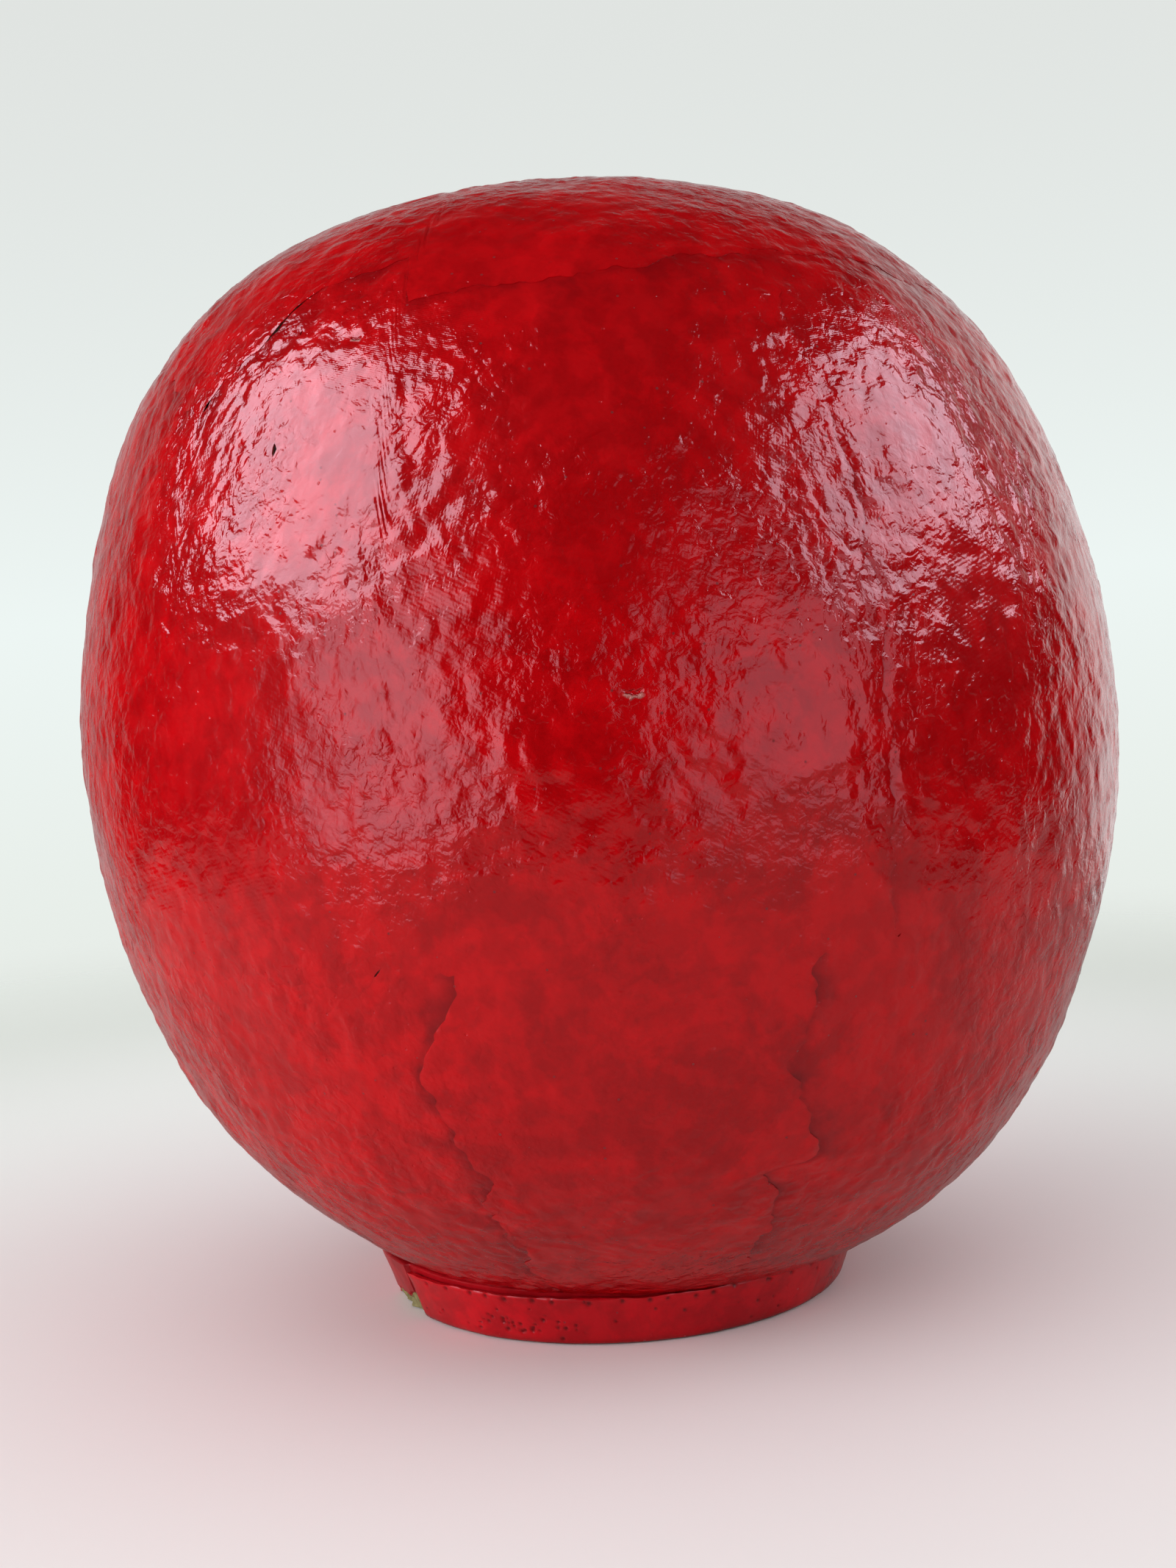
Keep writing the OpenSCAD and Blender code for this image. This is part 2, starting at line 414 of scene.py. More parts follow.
def round_mesh(name, rings, extra=None):
    """A closed lump from rings that run from the upper pole, down the outside, to the last pole."""
    count, columns = rings.shape[:2]
    wrapped = np.concatenate([rings, rings[:, :1]], 1)
    more = {key: np.concatenate([values, values[:, :1]], 1) for key, values in (extra or {}).items()}
    piece = new_mesh(name, wrapped.reshape(-1, 3), grid_quads(count, columns + 1), None, more)
    close_poles(piece)
    piece.data.set_sharp_from_angle(angle=math.radians(SHARP_TURN))
    return piece


def stand_for(piece, node, body, slot):
    """Hides the CAD node that the piece stands for, and ties the piece to its body and its finish."""
    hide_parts(node)
    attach(piece, body)
    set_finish(piece, slot)


# %% [markdown]
# ## The torn outer sheets
# The paper is torn and not cut, so an edge is ragged and thins out to nothing. Every second sheet lies
# over its two neighbours: it reaches the line where they meet, and its edge lifts in a very low lip that
# the lacquer has rounded over. Points are packed closer near an edge, because that is where the shape
# changes.

# %% Edge helpers
SKIN_STEP = 0.6
SHEET_T = 0.6
LIP = 0.06
LIP_RUN = 7.0
FLAP = 1.4
EDGE_SPACING = (0.0, 0.2, 0.5, 0.95, 1.45, 2.0, 2.6)


def edge_spaced(width):
    """Places across a sheet from 0 to 1: close together near both edges, then even."""
    near = np.array(EDGE_SPACING)
    even = np.linspace(near[-1], width - near[-1], max(3, int((width - 2 * near[-1]) / SKIN_STEP) + 1))
    return np.unique(np.concatenate([near, even, width - near])) / width


def ragged(points, strength=1.0):
    """How far a torn edge wanders, in millimetres: a slow wave with small teeth on it."""
    wave = 1.1 * noise(points, 12.0, 15) + 0.85 * noise(points, 4.5, 16) + 0.55 * noise(points, 2.0, 17)
    return strength * wave


def torn_line(steps, at):
    """The line through a few given places of an edge, straight between them."""
    places, values = np.array(steps, float).T
    return np.interp(at, places, values)


def lip_height(distance, lift):
    """Height of a lip over the sheet: a rounded edge, and a long run-out behind it."""
    return lift * (0.25 + 0.75 * smooth(distance / 0.55)) * np.exp(-np.clip(distance, 0, None) / LIP_RUN)


# %% [markdown]
# Each place where two sheets meet is one line, which both sheets use: the upper of the two ends on the
# line, and the lower one reaches a flap's width further, underneath. At the front the lines have the real
# tears' bends. Round the back they are straight apart from their ragged teeth. The lacquer pools against the
# upper sheet's edge, and that edge shades the lower sheet, so the lower sheet is painted dark there, for the
# pool and for the shade: a thin core along the line, and a wide blotchy band beside it.

# %% Where the sheets meet
WAIST_A = 104.0
TUCK_END = FLOOR_A + 1.6
EDGE_T = 0.05
TUCKED_T = 0.3
STEP_DARK = 0.40
LIP_DARK = 0.15
POOL_AND_SHADE_CORE = 0.8
POOL_AND_SHADE_WIDE = 0.9
WEAVE_R = 80.0
CROWN_TEAR = ((-180, 48), (-130, 50), (-90, 47), (-62, 56), (-45, 66), (-37, 57), (-33, 49), (-24, 46.5),
              (-19.5, 45), (-18, 53), (-4, 52), (6, 51), (15, 48), (30, 46), (60, 49), (110, 46),
              (150, 50), (180, 48))
LOWER_LEFT_TEAR = ((100, -15), (105, -15), (108, -18), (111, -20), (115, -18), (121, -18), (123, -16),
                   (127, -19), (140, -17), (156, -17))
LOWER_RIGHT_TEAR = ((100, 19), (108, 19), (111, 17), (114, 19), (118, 20), (122, 22), (124, 15), (128, 18),
                    (137, 17), (156, 17))
UPPER_RIGHT_TEAR = ((40, 24), (60, 25), (72, 26), (85, 27), (94, 26), (106, 28))
LOWER_MEETINGS = [-17 + 36 * k for k in range(10)]
UPPER_MEETINGS = [-32 + 60 * k for k in range(6)]


def arc_radius(a):
    """Radius of the arc that the outline follows where it faces a."""
    here = [a <= CROWN_END, a <= SHOULDER_END, a <= SIDE_END]
    return np.select(here, [CROWN_R, SHOULDER_R, SIDE_R], LOWER_R)


def meeting_line(straight, a, tear=None):
    """The ragged line, in degrees round from the front, where two neighbours of a row meet."""
    phi = torn_line(tear, a) if tear else np.full(a.shape, straight)
    radius = egg_outline(a)[0]
    return phi + np.degrees(ragged(egg_place(phi, a)) / radius)


def crown_line(phi):
    """The ragged edge of the crown patch: how far from straight up it faces, for each direction round."""
    phi = (phi + 180.0) % 360.0 - 180.0
    a = torn_line(CROWN_TEAR, phi)
    return a + np.degrees(ragged(egg_place(phi, a)) / arc_radius(a))


def waist_line(phi):
    """The ragged lower edge of the upper sheets."""
    return WAIST_A + np.degrees(ragged(egg_place(phi, np.full(phi.shape, WAIST_A)), 1.6) / SIDE_R)


def sheet_surface(phi, a, exposed, tucked, turn_uv):
    """Outer and inner faces of a sheet, its UV and how dark it is painted at its edges.

    An exposed edge is (distance to it, lift). A tucked one is (distance, darkness, drop): beside it the sheet
    is lower and darker, for the lacquer pooled against the sheet that lies over it and for painted shade
    under that sheet's edge."""
    base = egg_place(phi, a)
    outward = egg_direction(phi, a)
    height = relief(phi, a, base)
    thickness = np.full(phi.shape, SHEET_T)
    # Painted shade with pooled lacquer: dark at the buried steps, along this sheet's own lips and beside any
    # sheet that lies over it.
    edge_dark = STEP_DARK * hidden_steps(phi, a, base)[1] * smooth(0.5 + 1.2 * noise(base, 9.0, 29))
    patchy = 0.55 + 0.65 * smooth(0.5 + 0.9 * noise(base, 18.0, 18))
    for distance, lift in exposed:
        height = height + lip_height(distance, lift * patchy)
        thin = EDGE_T + 0.22 * smooth(distance / FLAP) + 0.4 * smooth((distance - FLAP) / 1.5)
        thickness = np.minimum(thickness, thin)
        edge_dark = np.maximum(edge_dark, LIP_DARK * np.exp(-(distance / 0.3) ** 2) * patchy)
    blotch = smooth(0.5 + 1.4 * noise(base, 7.0, 19))
    for distance, darkness, drop in tucked:
        height = height - drop * (0.4 + 0.6 * blotch) * (1.0 - smooth((distance - 0.6) / (FLAP + 1.2)))
        thickness = np.minimum(thickness, TUCKED_T + (SHEET_T - TUCKED_T) * smooth((distance - 1.0) / 1.5))
        core = POOL_AND_SHADE_CORE * np.exp(-((distance - FLAP + 0.1) / 0.3) ** 2)
        wide = POOL_AND_SHADE_WIDE * np.exp(-np.clip(distance - FLAP, 0, None) / (0.9 + 2.6 * blotch))
        share = np.minimum(darkness * (0.3 + 0.7 * blotch), 1.0)
        edge_dark = np.maximum(edge_dark, share * np.maximum(core, wide))
    outer = leaned(base + outward * height[..., None])
    inner = leaned(base + outward * (height - thickness)[..., None])
    flat_u = np.radians(phi - phi.mean()) * (SIDE_C[0] + SIDE_R)
    flat_v = np.radians(a) * WEAVE_R
    c, s = math.cos(turn_uv), math.sin(turn_uv)
    uv = np.stack([c * flat_u - s * flat_v, s * flat_u + c * flat_v], -1)
    return outer, inner, uv, edge_dark


def foot_line(phi):
    """The lower edge of the lower sheets, turned in a little under the egg."""
    return np.full(phi.shape, TUCK_END)


def hidden_under(line):
    """The same edge, moved up by a flap's width, for the sheet that is tucked under it."""
    return lambda phi: line(phi) - np.degrees(FLAP / arc_radius(line(phi)))


# %% [markdown]
# Both rows are made by one function. A row says where its sheets meet, which of those lines are real
# tears, its top and bottom lines, and how dark and how deep the joints are. A sheet's columns follow its
# two ragged sides closely near the edges and run straight in the middle, so the grid never folds: what
# is left of a tear's bend fades over FOLLOW millimetres.

# %% Rows of sheets
# A row's joint darkness, in tear_dark, top_tuck and PLAIN_TUCK, is pooled lacquer and painted shade beside
# the sheet that lies over it.
LOWER_ROW = {"name": "lower_sheet", "meetings": LOWER_MEETINGS,
             "tears": {0: LOWER_LEFT_TEAR, 1: LOWER_RIGHT_TEAR},
             "top": hidden_under(waist_line), "bottom": foot_line, "widest_a": WAIST_A,
             "top_tuck": (0.0, 0.03), "tear_dark": 2.0, "bottom_lift": 0.0}
UPPER_ROW = {"name": "upper_sheet", "meetings": UPPER_MEETINGS, "tears": {1: UPPER_RIGHT_TEAR},
             "top": hidden_under(crown_line), "bottom": waist_line, "widest_a": 92.0,
             "top_tuck": (0.75, 0.06), "tear_dark": 0.35, "bottom_lift": 0.03}
TEAR_DROP = 0.14
PLAIN_TUCK = (0.3, 0.03)
PLAIN_LIP = 0.1
FOLLOW = 5.0
MEAN_ARC_R = 85.0
WEAVE_TURN = 7.0


def row_sheet(row, k):
    """One sheet of a row: its sides are two meeting lines, its top and bottom are functions of direction."""
    count = len(row["meetings"])
    left = float(row["meetings"][k])
    right = left + 360.0 / count
    tears = (row["tears"].get(k), row["tears"].get((k + 1) % count))
    over = k % 2 == 0
    width = np.radians(right - left) * float(egg_outline(row["widest_a"])[0]) + 2 * FLAP
    u = edge_spaced(width)[None, :]
    phi_guess = left + (right - left) * u
    top, bottom = row["top"](phi_guess), row["bottom"](phi_guess)
    length = float(np.mean(np.radians(bottom - top) * MEAN_ARC_R))
    a = top + (bottom - top) * edge_spaced(length)[:, None]
    row_a = a.mean(1)
    reach = np.degrees(FLAP / egg_outline(row_a)[0]) * (0.0 if over else 1.0)
    start = meeting_line(left, row_a, tears[0]) - reach
    whole_turn = 360.0 if tears[1] and right > 180 else 0.0
    end = meeting_line(right, row_a, tears[1]) + whole_turn + reach
    straight_start, straight_end = left - reach, right + reach
    phi = straight_start[:, None] + (straight_end - straight_start)[:, None] * u
    phi = phi + (start - straight_start)[:, None] * np.exp(-u * width / FOLLOW)
    phi = phi + (end - straight_end)[:, None] * np.exp(-(1 - u) * width / FOLLOW)
    radius = egg_outline(a)[0]
    sides = (np.radians(phi - start[:, None]) * radius, np.radians(end[:, None] - phi) * radius)
    from_top = np.radians(a - top) * arc_radius(a)
    from_bottom = np.radians(bottom - a) * arc_radius(a)
    fade = smooth((from_top - FLAP) / 5.0) * (smooth(from_bottom / 4.0) if row["bottom_lift"] else 1.0)
    exposed, tucked = [], [(from_top,) + row["top_tuck"]]
    for distance, tear in zip(sides, tears):
        if over:
            exposed.append((distance, LIP * fade * (1.0 if tear else PLAIN_LIP)))
        else:
            tucked.append((distance,) + ((row["tear_dark"], TEAR_DROP) if tear else PLAIN_TUCK))
    if row["bottom_lift"]:
        exposed.append((from_bottom, row["bottom_lift"]))
    weave = math.radians(WEAVE_TURN * ((k * 5) % 7 - 3))
    outer, inner, uv, dark = sheet_surface(phi, a, exposed, tucked, weave)
    tone = np.full(phi.shape, ((k * 7 + count) % 5) / 4.0)
    node = f"{row['name']}_{k + 1}"
    piece = sheet_mesh("torn_" + node, outer, inner, uv, {"edge_dark": dark, "tone": tone})
    stand_for(piece, node, "egg", "red_lacquer")
    return piece


sheets = [row_sheet(row, k) for row in (LOWER_ROW, UPPER_ROW) for k in range(len(row["meetings"]))]
print("row sheets:", len(sheets), "with", sum(len(s.data.polygons) for s in sheets), "faces")

# %% [markdown]
# ## The crown patch
# A round patch closes the top, where the mould's end was. Its two parameters are the direction round and
# the share of the way from the pole to its ragged edge. The inner face needs few rings, since it only
# closes the shell.

# %% Crown patch
CROWN_STEP = 0.72
CROWN_REACH = 62.0
CROWN_LIP = 0.8
CROWN_TONE = 0.6
INNER_STEP = 8


def crown_rings():
    """Rings from the pole to the torn edge, then back underneath to the pole."""
    columns = int(2 * math.pi * float(egg_outline(48.0)[0]) / CROWN_STEP)
    phi = np.linspace(-180, 180, columns, endpoint=False)[None, :]
    edge = crown_line(phi)
    even = np.linspace(0, CROWN_REACH - 2.45, int(CROWN_REACH / CROWN_STEP))
    out = np.concatenate([even, CROWN_REACH - np.array(EDGE_SPACING[:-1])[::-1]]) / CROWN_REACH
    a = edge * out[:, None]
    wide = np.broadcast_to(phi, a.shape)
    distance = np.radians(edge - a) * arc_radius(a)
    outer, inner, _, dark = sheet_surface(wide, a, [(distance, LIP * CROWN_LIP)], [], 0.3)
    near_edge = len(out) - 10
    pick = np.concatenate([np.arange(0, near_edge, INNER_STEP), np.arange(near_edge, len(out))])[::-1]
    rings = np.concatenate([outer, inner[pick]])
    dark = np.concatenate([dark, dark[pick]])
    return rings, {"edge_dark": dark, "tone": np.full(dark.shape, CROWN_TONE)}


rings, crown_values = crown_rings()
crown = round_mesh("crown_sheet", rings, crown_values)
stand_for(crown, "crown_patch", "egg", "red_lacquer")
print("crown sheet faces:", len(crown.data.polygons))

# %% [markdown]
# ## The moulded half shells and the liner
# Under the outer sheets lie a thin liner and the moulded core, cut in two to take it off the mould. They
# follow the same lean, so the outer face of the core moves with the skin, while its inner face keeps the
# path of the beads clear. They are never seen in use, so their grids are wide.

# %% Core and liner
CORE_OUT = 1.5
CORE_IN = 3.4
LINER_OUT = 0.8
LINER_IN = 1.3
CORE_FLOOR = EGG_FLOOR + CORE_IN - CORE_OUT
CORE_GAP_DEG = 0.08


def buried(phi, a, inset):
    """A point of a buried layer: it shares the dents and the lean, but not the skin's fine relief."""
    base = egg_place(phi, a, inset)
    shaped = base + egg_direction(phi, a) * (0.8 * dents(egg_place(phi, a)) - 0.12)[..., None]
    return leaned(shaped)


def core_half(name, phi_middle):
    """Half of the moulded egg: the outside follows the lean, and the chamber inside stays true and round."""
    phi = np.linspace(phi_middle - 90 + CORE_GAP_DEG, phi_middle + 90 - CORE_GAP_DEG, 91)[None, :]
    a_out = np.linspace(0.0, facing_at_height(EGG_FLOOR, CORE_OUT), 90)[:, None]
    a_in = np.linspace(0.0, facing_at_height(CORE_FLOOR, CORE_IN), 90)[:, None]
    phi_grid, a_out = np.broadcast_arrays(phi, a_out)
    a_in = np.broadcast_to(a_in, phi_grid.shape)
    inner = egg_place(phi_grid, a_in, CORE_IN)
    outer = buried(phi_grid, a_out, CORE_OUT)
    floor_share = np.array([0.75, 0.5, 0.25, 0.0])[:, None, None]
    outer = np.concatenate([outer, floor_ring(outer[-1], floor_share)])
    inner = np.concatenate([inner, floor_ring(inner[-1], floor_share)])
    return sheet_mesh(name, outer, inner, merge=True)


def floor_ring(last, share):
    """The flat floor: the last ring, drawn in towards the middle."""
    ring = last[None] * share
    ring[..., 2] = last[:, 2]
    return ring


for node, phi_middle in (("core_front_half", 0.0), ("core_back_half", 180.0)):
    stand_for(core_half(node.replace("_half", "_shell"), phi_middle), node, "egg", "moulded_paper")

LINER_QUARTERS = {"liner_front": 0.0, "liner_right": 90.0, "liner_back": 180.0, "liner_left": 270.0}
for node, phi_middle in LINER_QUARTERS.items():
    round_liner = np.linspace(phi_middle - 44.9, phi_middle + 44.9, 60)
    phi, a = np.meshgrid(round_liner, np.linspace(CROWN_END, FLOOR_A, 90))
    piece = sheet_mesh(node + "_paper", buried(phi, a, LINER_OUT), buried(phi, a, LINER_IN))
    stand_for(piece, node, "egg", "liner_paper")
phi, a = np.meshgrid(np.linspace(-180, 180, 90, endpoint=False), np.linspace(0, CROWN_END - 0.2, 14))
rings = np.concatenate([buried(phi, a, LINER_OUT), buried(phi, a, LINER_IN)[::-1]])
stand_for(round_mesh("liner_crown_paper", rings), "liner_crown", "egg", "liner_paper")
print("core shells: 2, liner papers:", len(LINER_QUARTERS) + 1)

# %% [markdown]
# ## The foot
# The foot is a lump of fibrous clay: its weight makes the shaker stand up again after it is knocked. A
# paper strip is pasted round it in three lengths, but the strip stops short of a full turn, so a stretch
# at the left stays bare. The lacquer has chipped off the clay's lower edge there. A paper disc closes the
# underside.

# %% Clay weight
FOOT_R_LOW = 35.1
FOOT_R_TOP = 38.1
BASE_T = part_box("base_disc")[1].z / MM
CLAY_Z0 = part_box("clay_weight")[0].z / MM
CLAY_Z1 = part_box("clay_weight")[1].z / MM
CHIP_FROM = -80.0
CHIP_TO = -58.5
CHIP_TOP = 4.2
FOOT_SHIFT = -1.3
BARE_FROM = -94.2
BARE_TO = -58.4
BARE_BULGE = 0.85
SKIRT_R = 34.2
SKIRT_Z = 0.15


def foot_radius(z):
    """The clay's slightly flared side."""
    return FOOT_R_LOW + (FOOT_R_TOP - FOOT_R_LOW) * (z - BASE_T) / (EGG_FLOOR - BASE_T)


def round_place(phi, radius, z):
    """Points at a radius and a height, carried round the foot's own middle, a little to the left."""
    phi, radius, z = np.broadcast_arrays(phi, radius, z)
    return np.stack([radius * np.sin(np.radians(phi)) + FOOT_SHIFT, -radius * np.cos(np.radians(phi)), z], -1)


def outward_round(phi, push):
    """A push of the foot's surface away from its middle, as an offset of each point."""
    phi, push = np.broadcast_arrays(np.radians(phi), push)
    return np.stack([np.sin(phi) * push, -np.cos(phi) * push, 0 * push], -1)


def clay_rings():
    """Rings over the clay: out over the top, down the lumpy, chipped side and in underneath."""
    phi = np.linspace(-180, 180, 560, endpoint=False)[None, :]
    side_z = np.linspace(CLAY_Z1 - 0.25, SKIRT_Z + 0.2, 34)
    top_r, low_r = foot_radius(CLAY_Z1), foot_radius(CLAY_Z0)
    profile = [(r, CLAY_Z1) for r in np.linspace(0, top_r - 1.5, 8)]
    profile += [(top_r - 0.6, CLAY_Z1), (top_r - 0.2, CLAY_Z1 - 0.08)]
    profile += [(foot_radius(side), side) for side in side_z]
    profile += [(low_r - 0.2, SKIRT_Z + 0.05), (SKIRT_R + 0.3, SKIRT_Z)]
    profile += [(SKIRT_R, SKIRT_Z + 0.2), (SKIRT_R, CLAY_Z0)]
    profile += [(r, CLAY_Z0) for r in np.linspace(SKIRT_R - 1.0, 0, 8)]
    radius, z = np.hsplit(np.array(profile), 2)
    base = round_place(phi, radius, z)
    on_side = smooth((radius - SKIRT_R) / 0.7)
    lump = 0.12 * noise(base, 14.0, 21) + 0.06 * noise(base, 5.0, 22) + 0.02 * noise(base, 2.0, 23)
    ragged_side = 1.5 * noise(base, 6.0, 24) + 0.8 * noise(base, 2.2, 25)
    inside = np.minimum(np.radians(phi - CHIP_FROM) * low_r, np.radians(CHIP_TO - phi) * low_r)
    inside = np.minimum(inside, CHIP_TOP - z - 0.12 * (phi - CHIP_TO)**2 / 20.0) + ragged_side
    bare = smooth(inside / 0.5 + 0.5)
    rubble = 0.45 * noise(base, 3.2, 26) + 0.25 * noise(base, 1.4, 27)
    bulge = BARE_BULGE * smooth((phi - BARE_FROM) / 1.2) * smooth((BARE_TO - phi) / 0.6)
    push = on_side * (bulge + lump - bare * (0.75 - rubble))
    return base + outward_round(phi, push), bare * on_side


rings, bare = clay_rings()
clay = round_mesh("clay_foot", rings, {"bare": bare})
stand_for(clay, "clay_weight", "egg", "weight_clay")

phi = np.linspace(-180, 180, 240, endpoint=False)[None, :]
disc_r = SKIRT_R - 0.4
disc_profile = np.array([(0, BASE_T), (12, BASE_T), (24, BASE_T), (disc_r - 0.5, BASE_T),
                         (disc_r - 0.08, BASE_T - 0.1), (disc_r, BASE_T / 2), (disc_r - 0.08, 0.1),
                         (disc_r - 0.5, 0), (24, 0), (12, 0), (0, 0)], float)
disc_rings = round_place(phi, disc_profile[:, :1], disc_profile[:, 1:])
wobble = 0.25 * noise(disc_rings, 9.0, 28) * smooth((disc_profile[:, :1] - 24.0) / 10.0)
disc_rings = disc_rings + outward_round(phi, wobble - 0.1)
disc = round_mesh("base_paper", disc_rings)
stand_for(disc, "base_disc", "egg", "liner_paper")
print("clay foot faces:", len(clay.data.polygons))

# %% [markdown]
# ## The strip round the foot
# The strip is a band with a slightly thickened, crisp upper edge and a rounded lower one. Where the
# lacquer was thick it boiled into pinholes: a row of them follows the upper edge, and a cluster sits
# lower down on the front. They are real pits in the surface, so the grid is fine, about a quarter of a
# millimetre.

# %% Foot strips
STRIP_STEP = 0.24
STRIP_GLUE = 0.2
STRIP_T = 0.75
STRIP_R = 38.0
STRIP_LOW = 0.1
STRIP_HIGH = 7.95
HOLE_R = 0.35
HOLE_DEPTH = 0.36
PATTERN_START = -59.0
STRIPS = (("foot_strip_front", -57.6, 53.0, 0.9, 56), ("foot_strip_right", 53.0, 159.0, 0.1, 56),
          ("foot_strip_back", 159.0, 265.0, 0.5, 55))


def strip_holes(seed):
    """Places of the pinholes, as (direction round, height, size): a row under the top edge, and clusters."""
    random = np.random.default_rng(seed)
    row = [(p, STRIP_HIGH - 0.75 + random.normal(0, 0.16), random.uniform(0.6, 1.3))
           for p in np.arange(-50, 50, 5.4) + random.normal(0, 1.3, 19)]
    cluster = [(random.normal(-27, 6.5), random.normal(2.9, 0.95), random.uniform(0.35, 0.95))
               for _ in range(30)]
    lone = [(random.uniform(-55, 50), random.uniform(1.5, 6.0), random.uniform(0.3, 0.8)) for _ in range(26)]
    return row + cluster + lone


def strip_surface(phi_start, phi_end, seed):
    """Outer and inner faces of one length of strip, with its pits, its rounded edges and its ragged start."""
    width = np.radians(phi_end - phi_start) * STRIP_R
    columns = int(width / STRIP_STEP)
    share = np.linspace(0, 1, columns)[None, :]
    z = np.linspace(STRIP_HIGH, STRIP_LOW, 36)[:, None]
    phi = phi_start + 0.02 + (phi_end - phi_start - 0.04) * share + 0 * z
    z = z + 0 * share
    base = round_place(phi, foot_radius(z) + STRIP_GLUE, z)
    top_wave = 0.22 * noise(base * [1, 1, 0], 11.0, 30) + 0.10 * noise(base * [1, 1, 0], 3.5, 31)
    z = z + (top_wave - 0.15) * smooth((z - 3.0) / 4.0)
    end_wave = 0.4 * noise(base, 5.0, 32) + 0.15 * noise(base, 1.6, 33)
    phi = phi + np.degrees(end_wave / STRIP_R) * np.exp(-share * width / 1.5) * (phi_start < 0)
    top, low = STRIP_HIGH - z, z - STRIP_LOW
    end = np.minimum(share, 1 - share) * width
    roll = np.sqrt(np.clip(1 - (1 - np.clip(top / 0.45, 0, 1))**2, 0, 1))
    roll_low = np.sqrt(np.clip(1 - (1 - np.clip(low / 0.9, 0, 1))**2, 0, 1))
    roll_end = 0.96 + 0.04 * smooth(end / 0.5)
    body = STRIP_T * (0.45 + 0.55 * roll) * (0.35 + 0.65 * roll_low) * roll_end
    lip = 0.14 * np.exp(-((top - 0.5) / 0.7)**2)
    soft = 0.10 * noise(base, 12.0, 34) + 0.045 * noise(base, 4.0, 35) + 0.02 * noise(base, 1.8, 36)
    pits = np.zeros(phi.shape)
    for hole_phi, hole_z, size in strip_holes(seed):
        sideways = np.radians(phi - phi_start - hole_phi + PATTERN_START) * STRIP_R
        away = np.hypot(sideways, z - hole_z)
        pits = np.maximum(pits, np.exp(-(away / (HOLE_R * size))**2.6) * min(1.0, 0.6 + 0.5 * size))
    out = foot_radius(z) + STRIP_GLUE + body + lip + soft - HOLE_DEPTH * pits
    outer = round_place(phi, out, z)
    inner = round_place(phi, foot_radius(z) + STRIP_GLUE, z)
    uv = np.stack([np.radians(phi) * STRIP_R, z], -1)
    # Painted shade: the strip is darkened in its pits, along its lower edge by the floor, and at its ends.
    painted_edge_shade = 0.55 * np.exp(-(low / 0.9) ** 2) + 0.10 * np.exp(-(end / 0.5) ** 2)
    return outer, inner, uv, np.maximum(1.35 * pits, painted_edge_shade)


for node, start, end, tone, seed in STRIPS:
    # The fourth value is the strip's painted shade, in its pits and along its lower edge and ends.
    outer, inner, uv, pits = strip_surface(start, end, seed)
    values = {"edge_dark": pits, "tone": np.full(pits.shape, tone)}
    piece = sheet_mesh(node + "_paper", outer, inner, uv, values)
    stand_for(piece, node, "egg", "red_lacquer")
    print(piece.name, len(piece.data.polygons), "faces")

# %% [markdown]
# ## The clay beads
# Each bead was rolled between two palms, so it is nearly round but has flats and a crease or two. The
# surface is a ball whose radius shrinks by a little noise, and never grows past the size of the designed
# bead, so it can't touch its neighbours or the wall.

# %% Beads
BEAD_SHRINK = 0.30


def bead_rings(centre, radius, seed):
    """Rings from pole to pole: a ball whose radius is taken in by noise and by one soft crease."""
    around = np.linspace(0, 2 * math.pi, 64, endpoint=False)
    polar, turn = np.meshgrid(np.linspace(0, math.pi, 41), around, indexing="ij")
    out = np.stack([np.sin(polar) * np.sin(turn), -np.sin(polar) * np.cos(turn), np.cos(polar)], -1)
    place = out * radius + seed * 17.0
    soft = 0.5 + 0.5 * noise(place, 7.0, 41)
    crease = np.exp(-(noise(place, 9.0, 42) / 0.08) ** 2) * smooth(0.4 + noise(place, 6.0, 43))
    fine = 0.5 + 0.5 * noise(place, 1.6, 44)
    taken = BEAD_SHRINK * (0.6 * soft + 0.45 * crease + 0.16 * fine)
    return centre + out * (radius - taken)[..., None]


beads = [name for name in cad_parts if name.startswith("bead_")]
for number, node in enumerate(sorted(beads)):
    low, high = (np.array(corner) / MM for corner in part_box(node))
    rings = bead_rings((low + high) / 2, float((high - low).min()) / 2, number + 1)
    stand_for(round_mesh(node + "_clay", rings), node, node, "bead_clay")
print("beads:", len(beads))

# %% [markdown]
# ## Shader helpers
# Every finish is a small graph of nodes. One helper adds a node and fills its inputs, from numbers or
# from other nodes' outputs, and short ones stand for the sums that come up most. Another starts a node
# group with named inputs and outputs, and one more uses such a group.

# %% Shader helpers


def add(tree, kind, settings=None, at=None, **inputs):
    """A new node. Settings are its own options; inputs are filled by name, or by number through at."""
    made = tree.nodes.new(kind)
    for key, value in (settings or {}).items():
        setattr(made, key, value)
    named = {key.replace("_", " "): value for key, value in inputs.items()}
    for key, value in {**named, **(at or {})}.items():
        if isinstance(value, bpy.types.NodeSocket):
            tree.links.new(value, made.inputs[key])
        else:
            made.inputs[key].default_value = value
    return made


def maths(tree, operation, *values, clamp=False):
    """The result of a Math node."""
    settings = {"operation": operation, "use_clamp": clamp}
    return add(tree, "ShaderNodeMath", settings, dict(enumerate(values))).outputs[0]


def plus(tree, first, second):
    """The sum of two values."""
    return maths(tree, "ADD", first, second)


def times(tree, first, second):
    """The product of two values."""
    return maths(tree, "MULTIPLY", first, second)


def scaled(tree, value, factor, offset, clamp=False):
    """A value times a factor, plus an offset."""
    return maths(tree, "MULTIPLY_ADD", value, factor, offset, clamp=clamp)


def ramp(tree, value, low, high, to_low=0.0, to_high=1.0):
    """A value carried smoothly from one range to another."""
    numbers = {0: value, 1: low, 2: high, 3: to_low, 4: to_high}
    return add(tree, "ShaderNodeMapRange", {"interpolation_type": "SMOOTHSTEP"}, numbers).outputs[0]


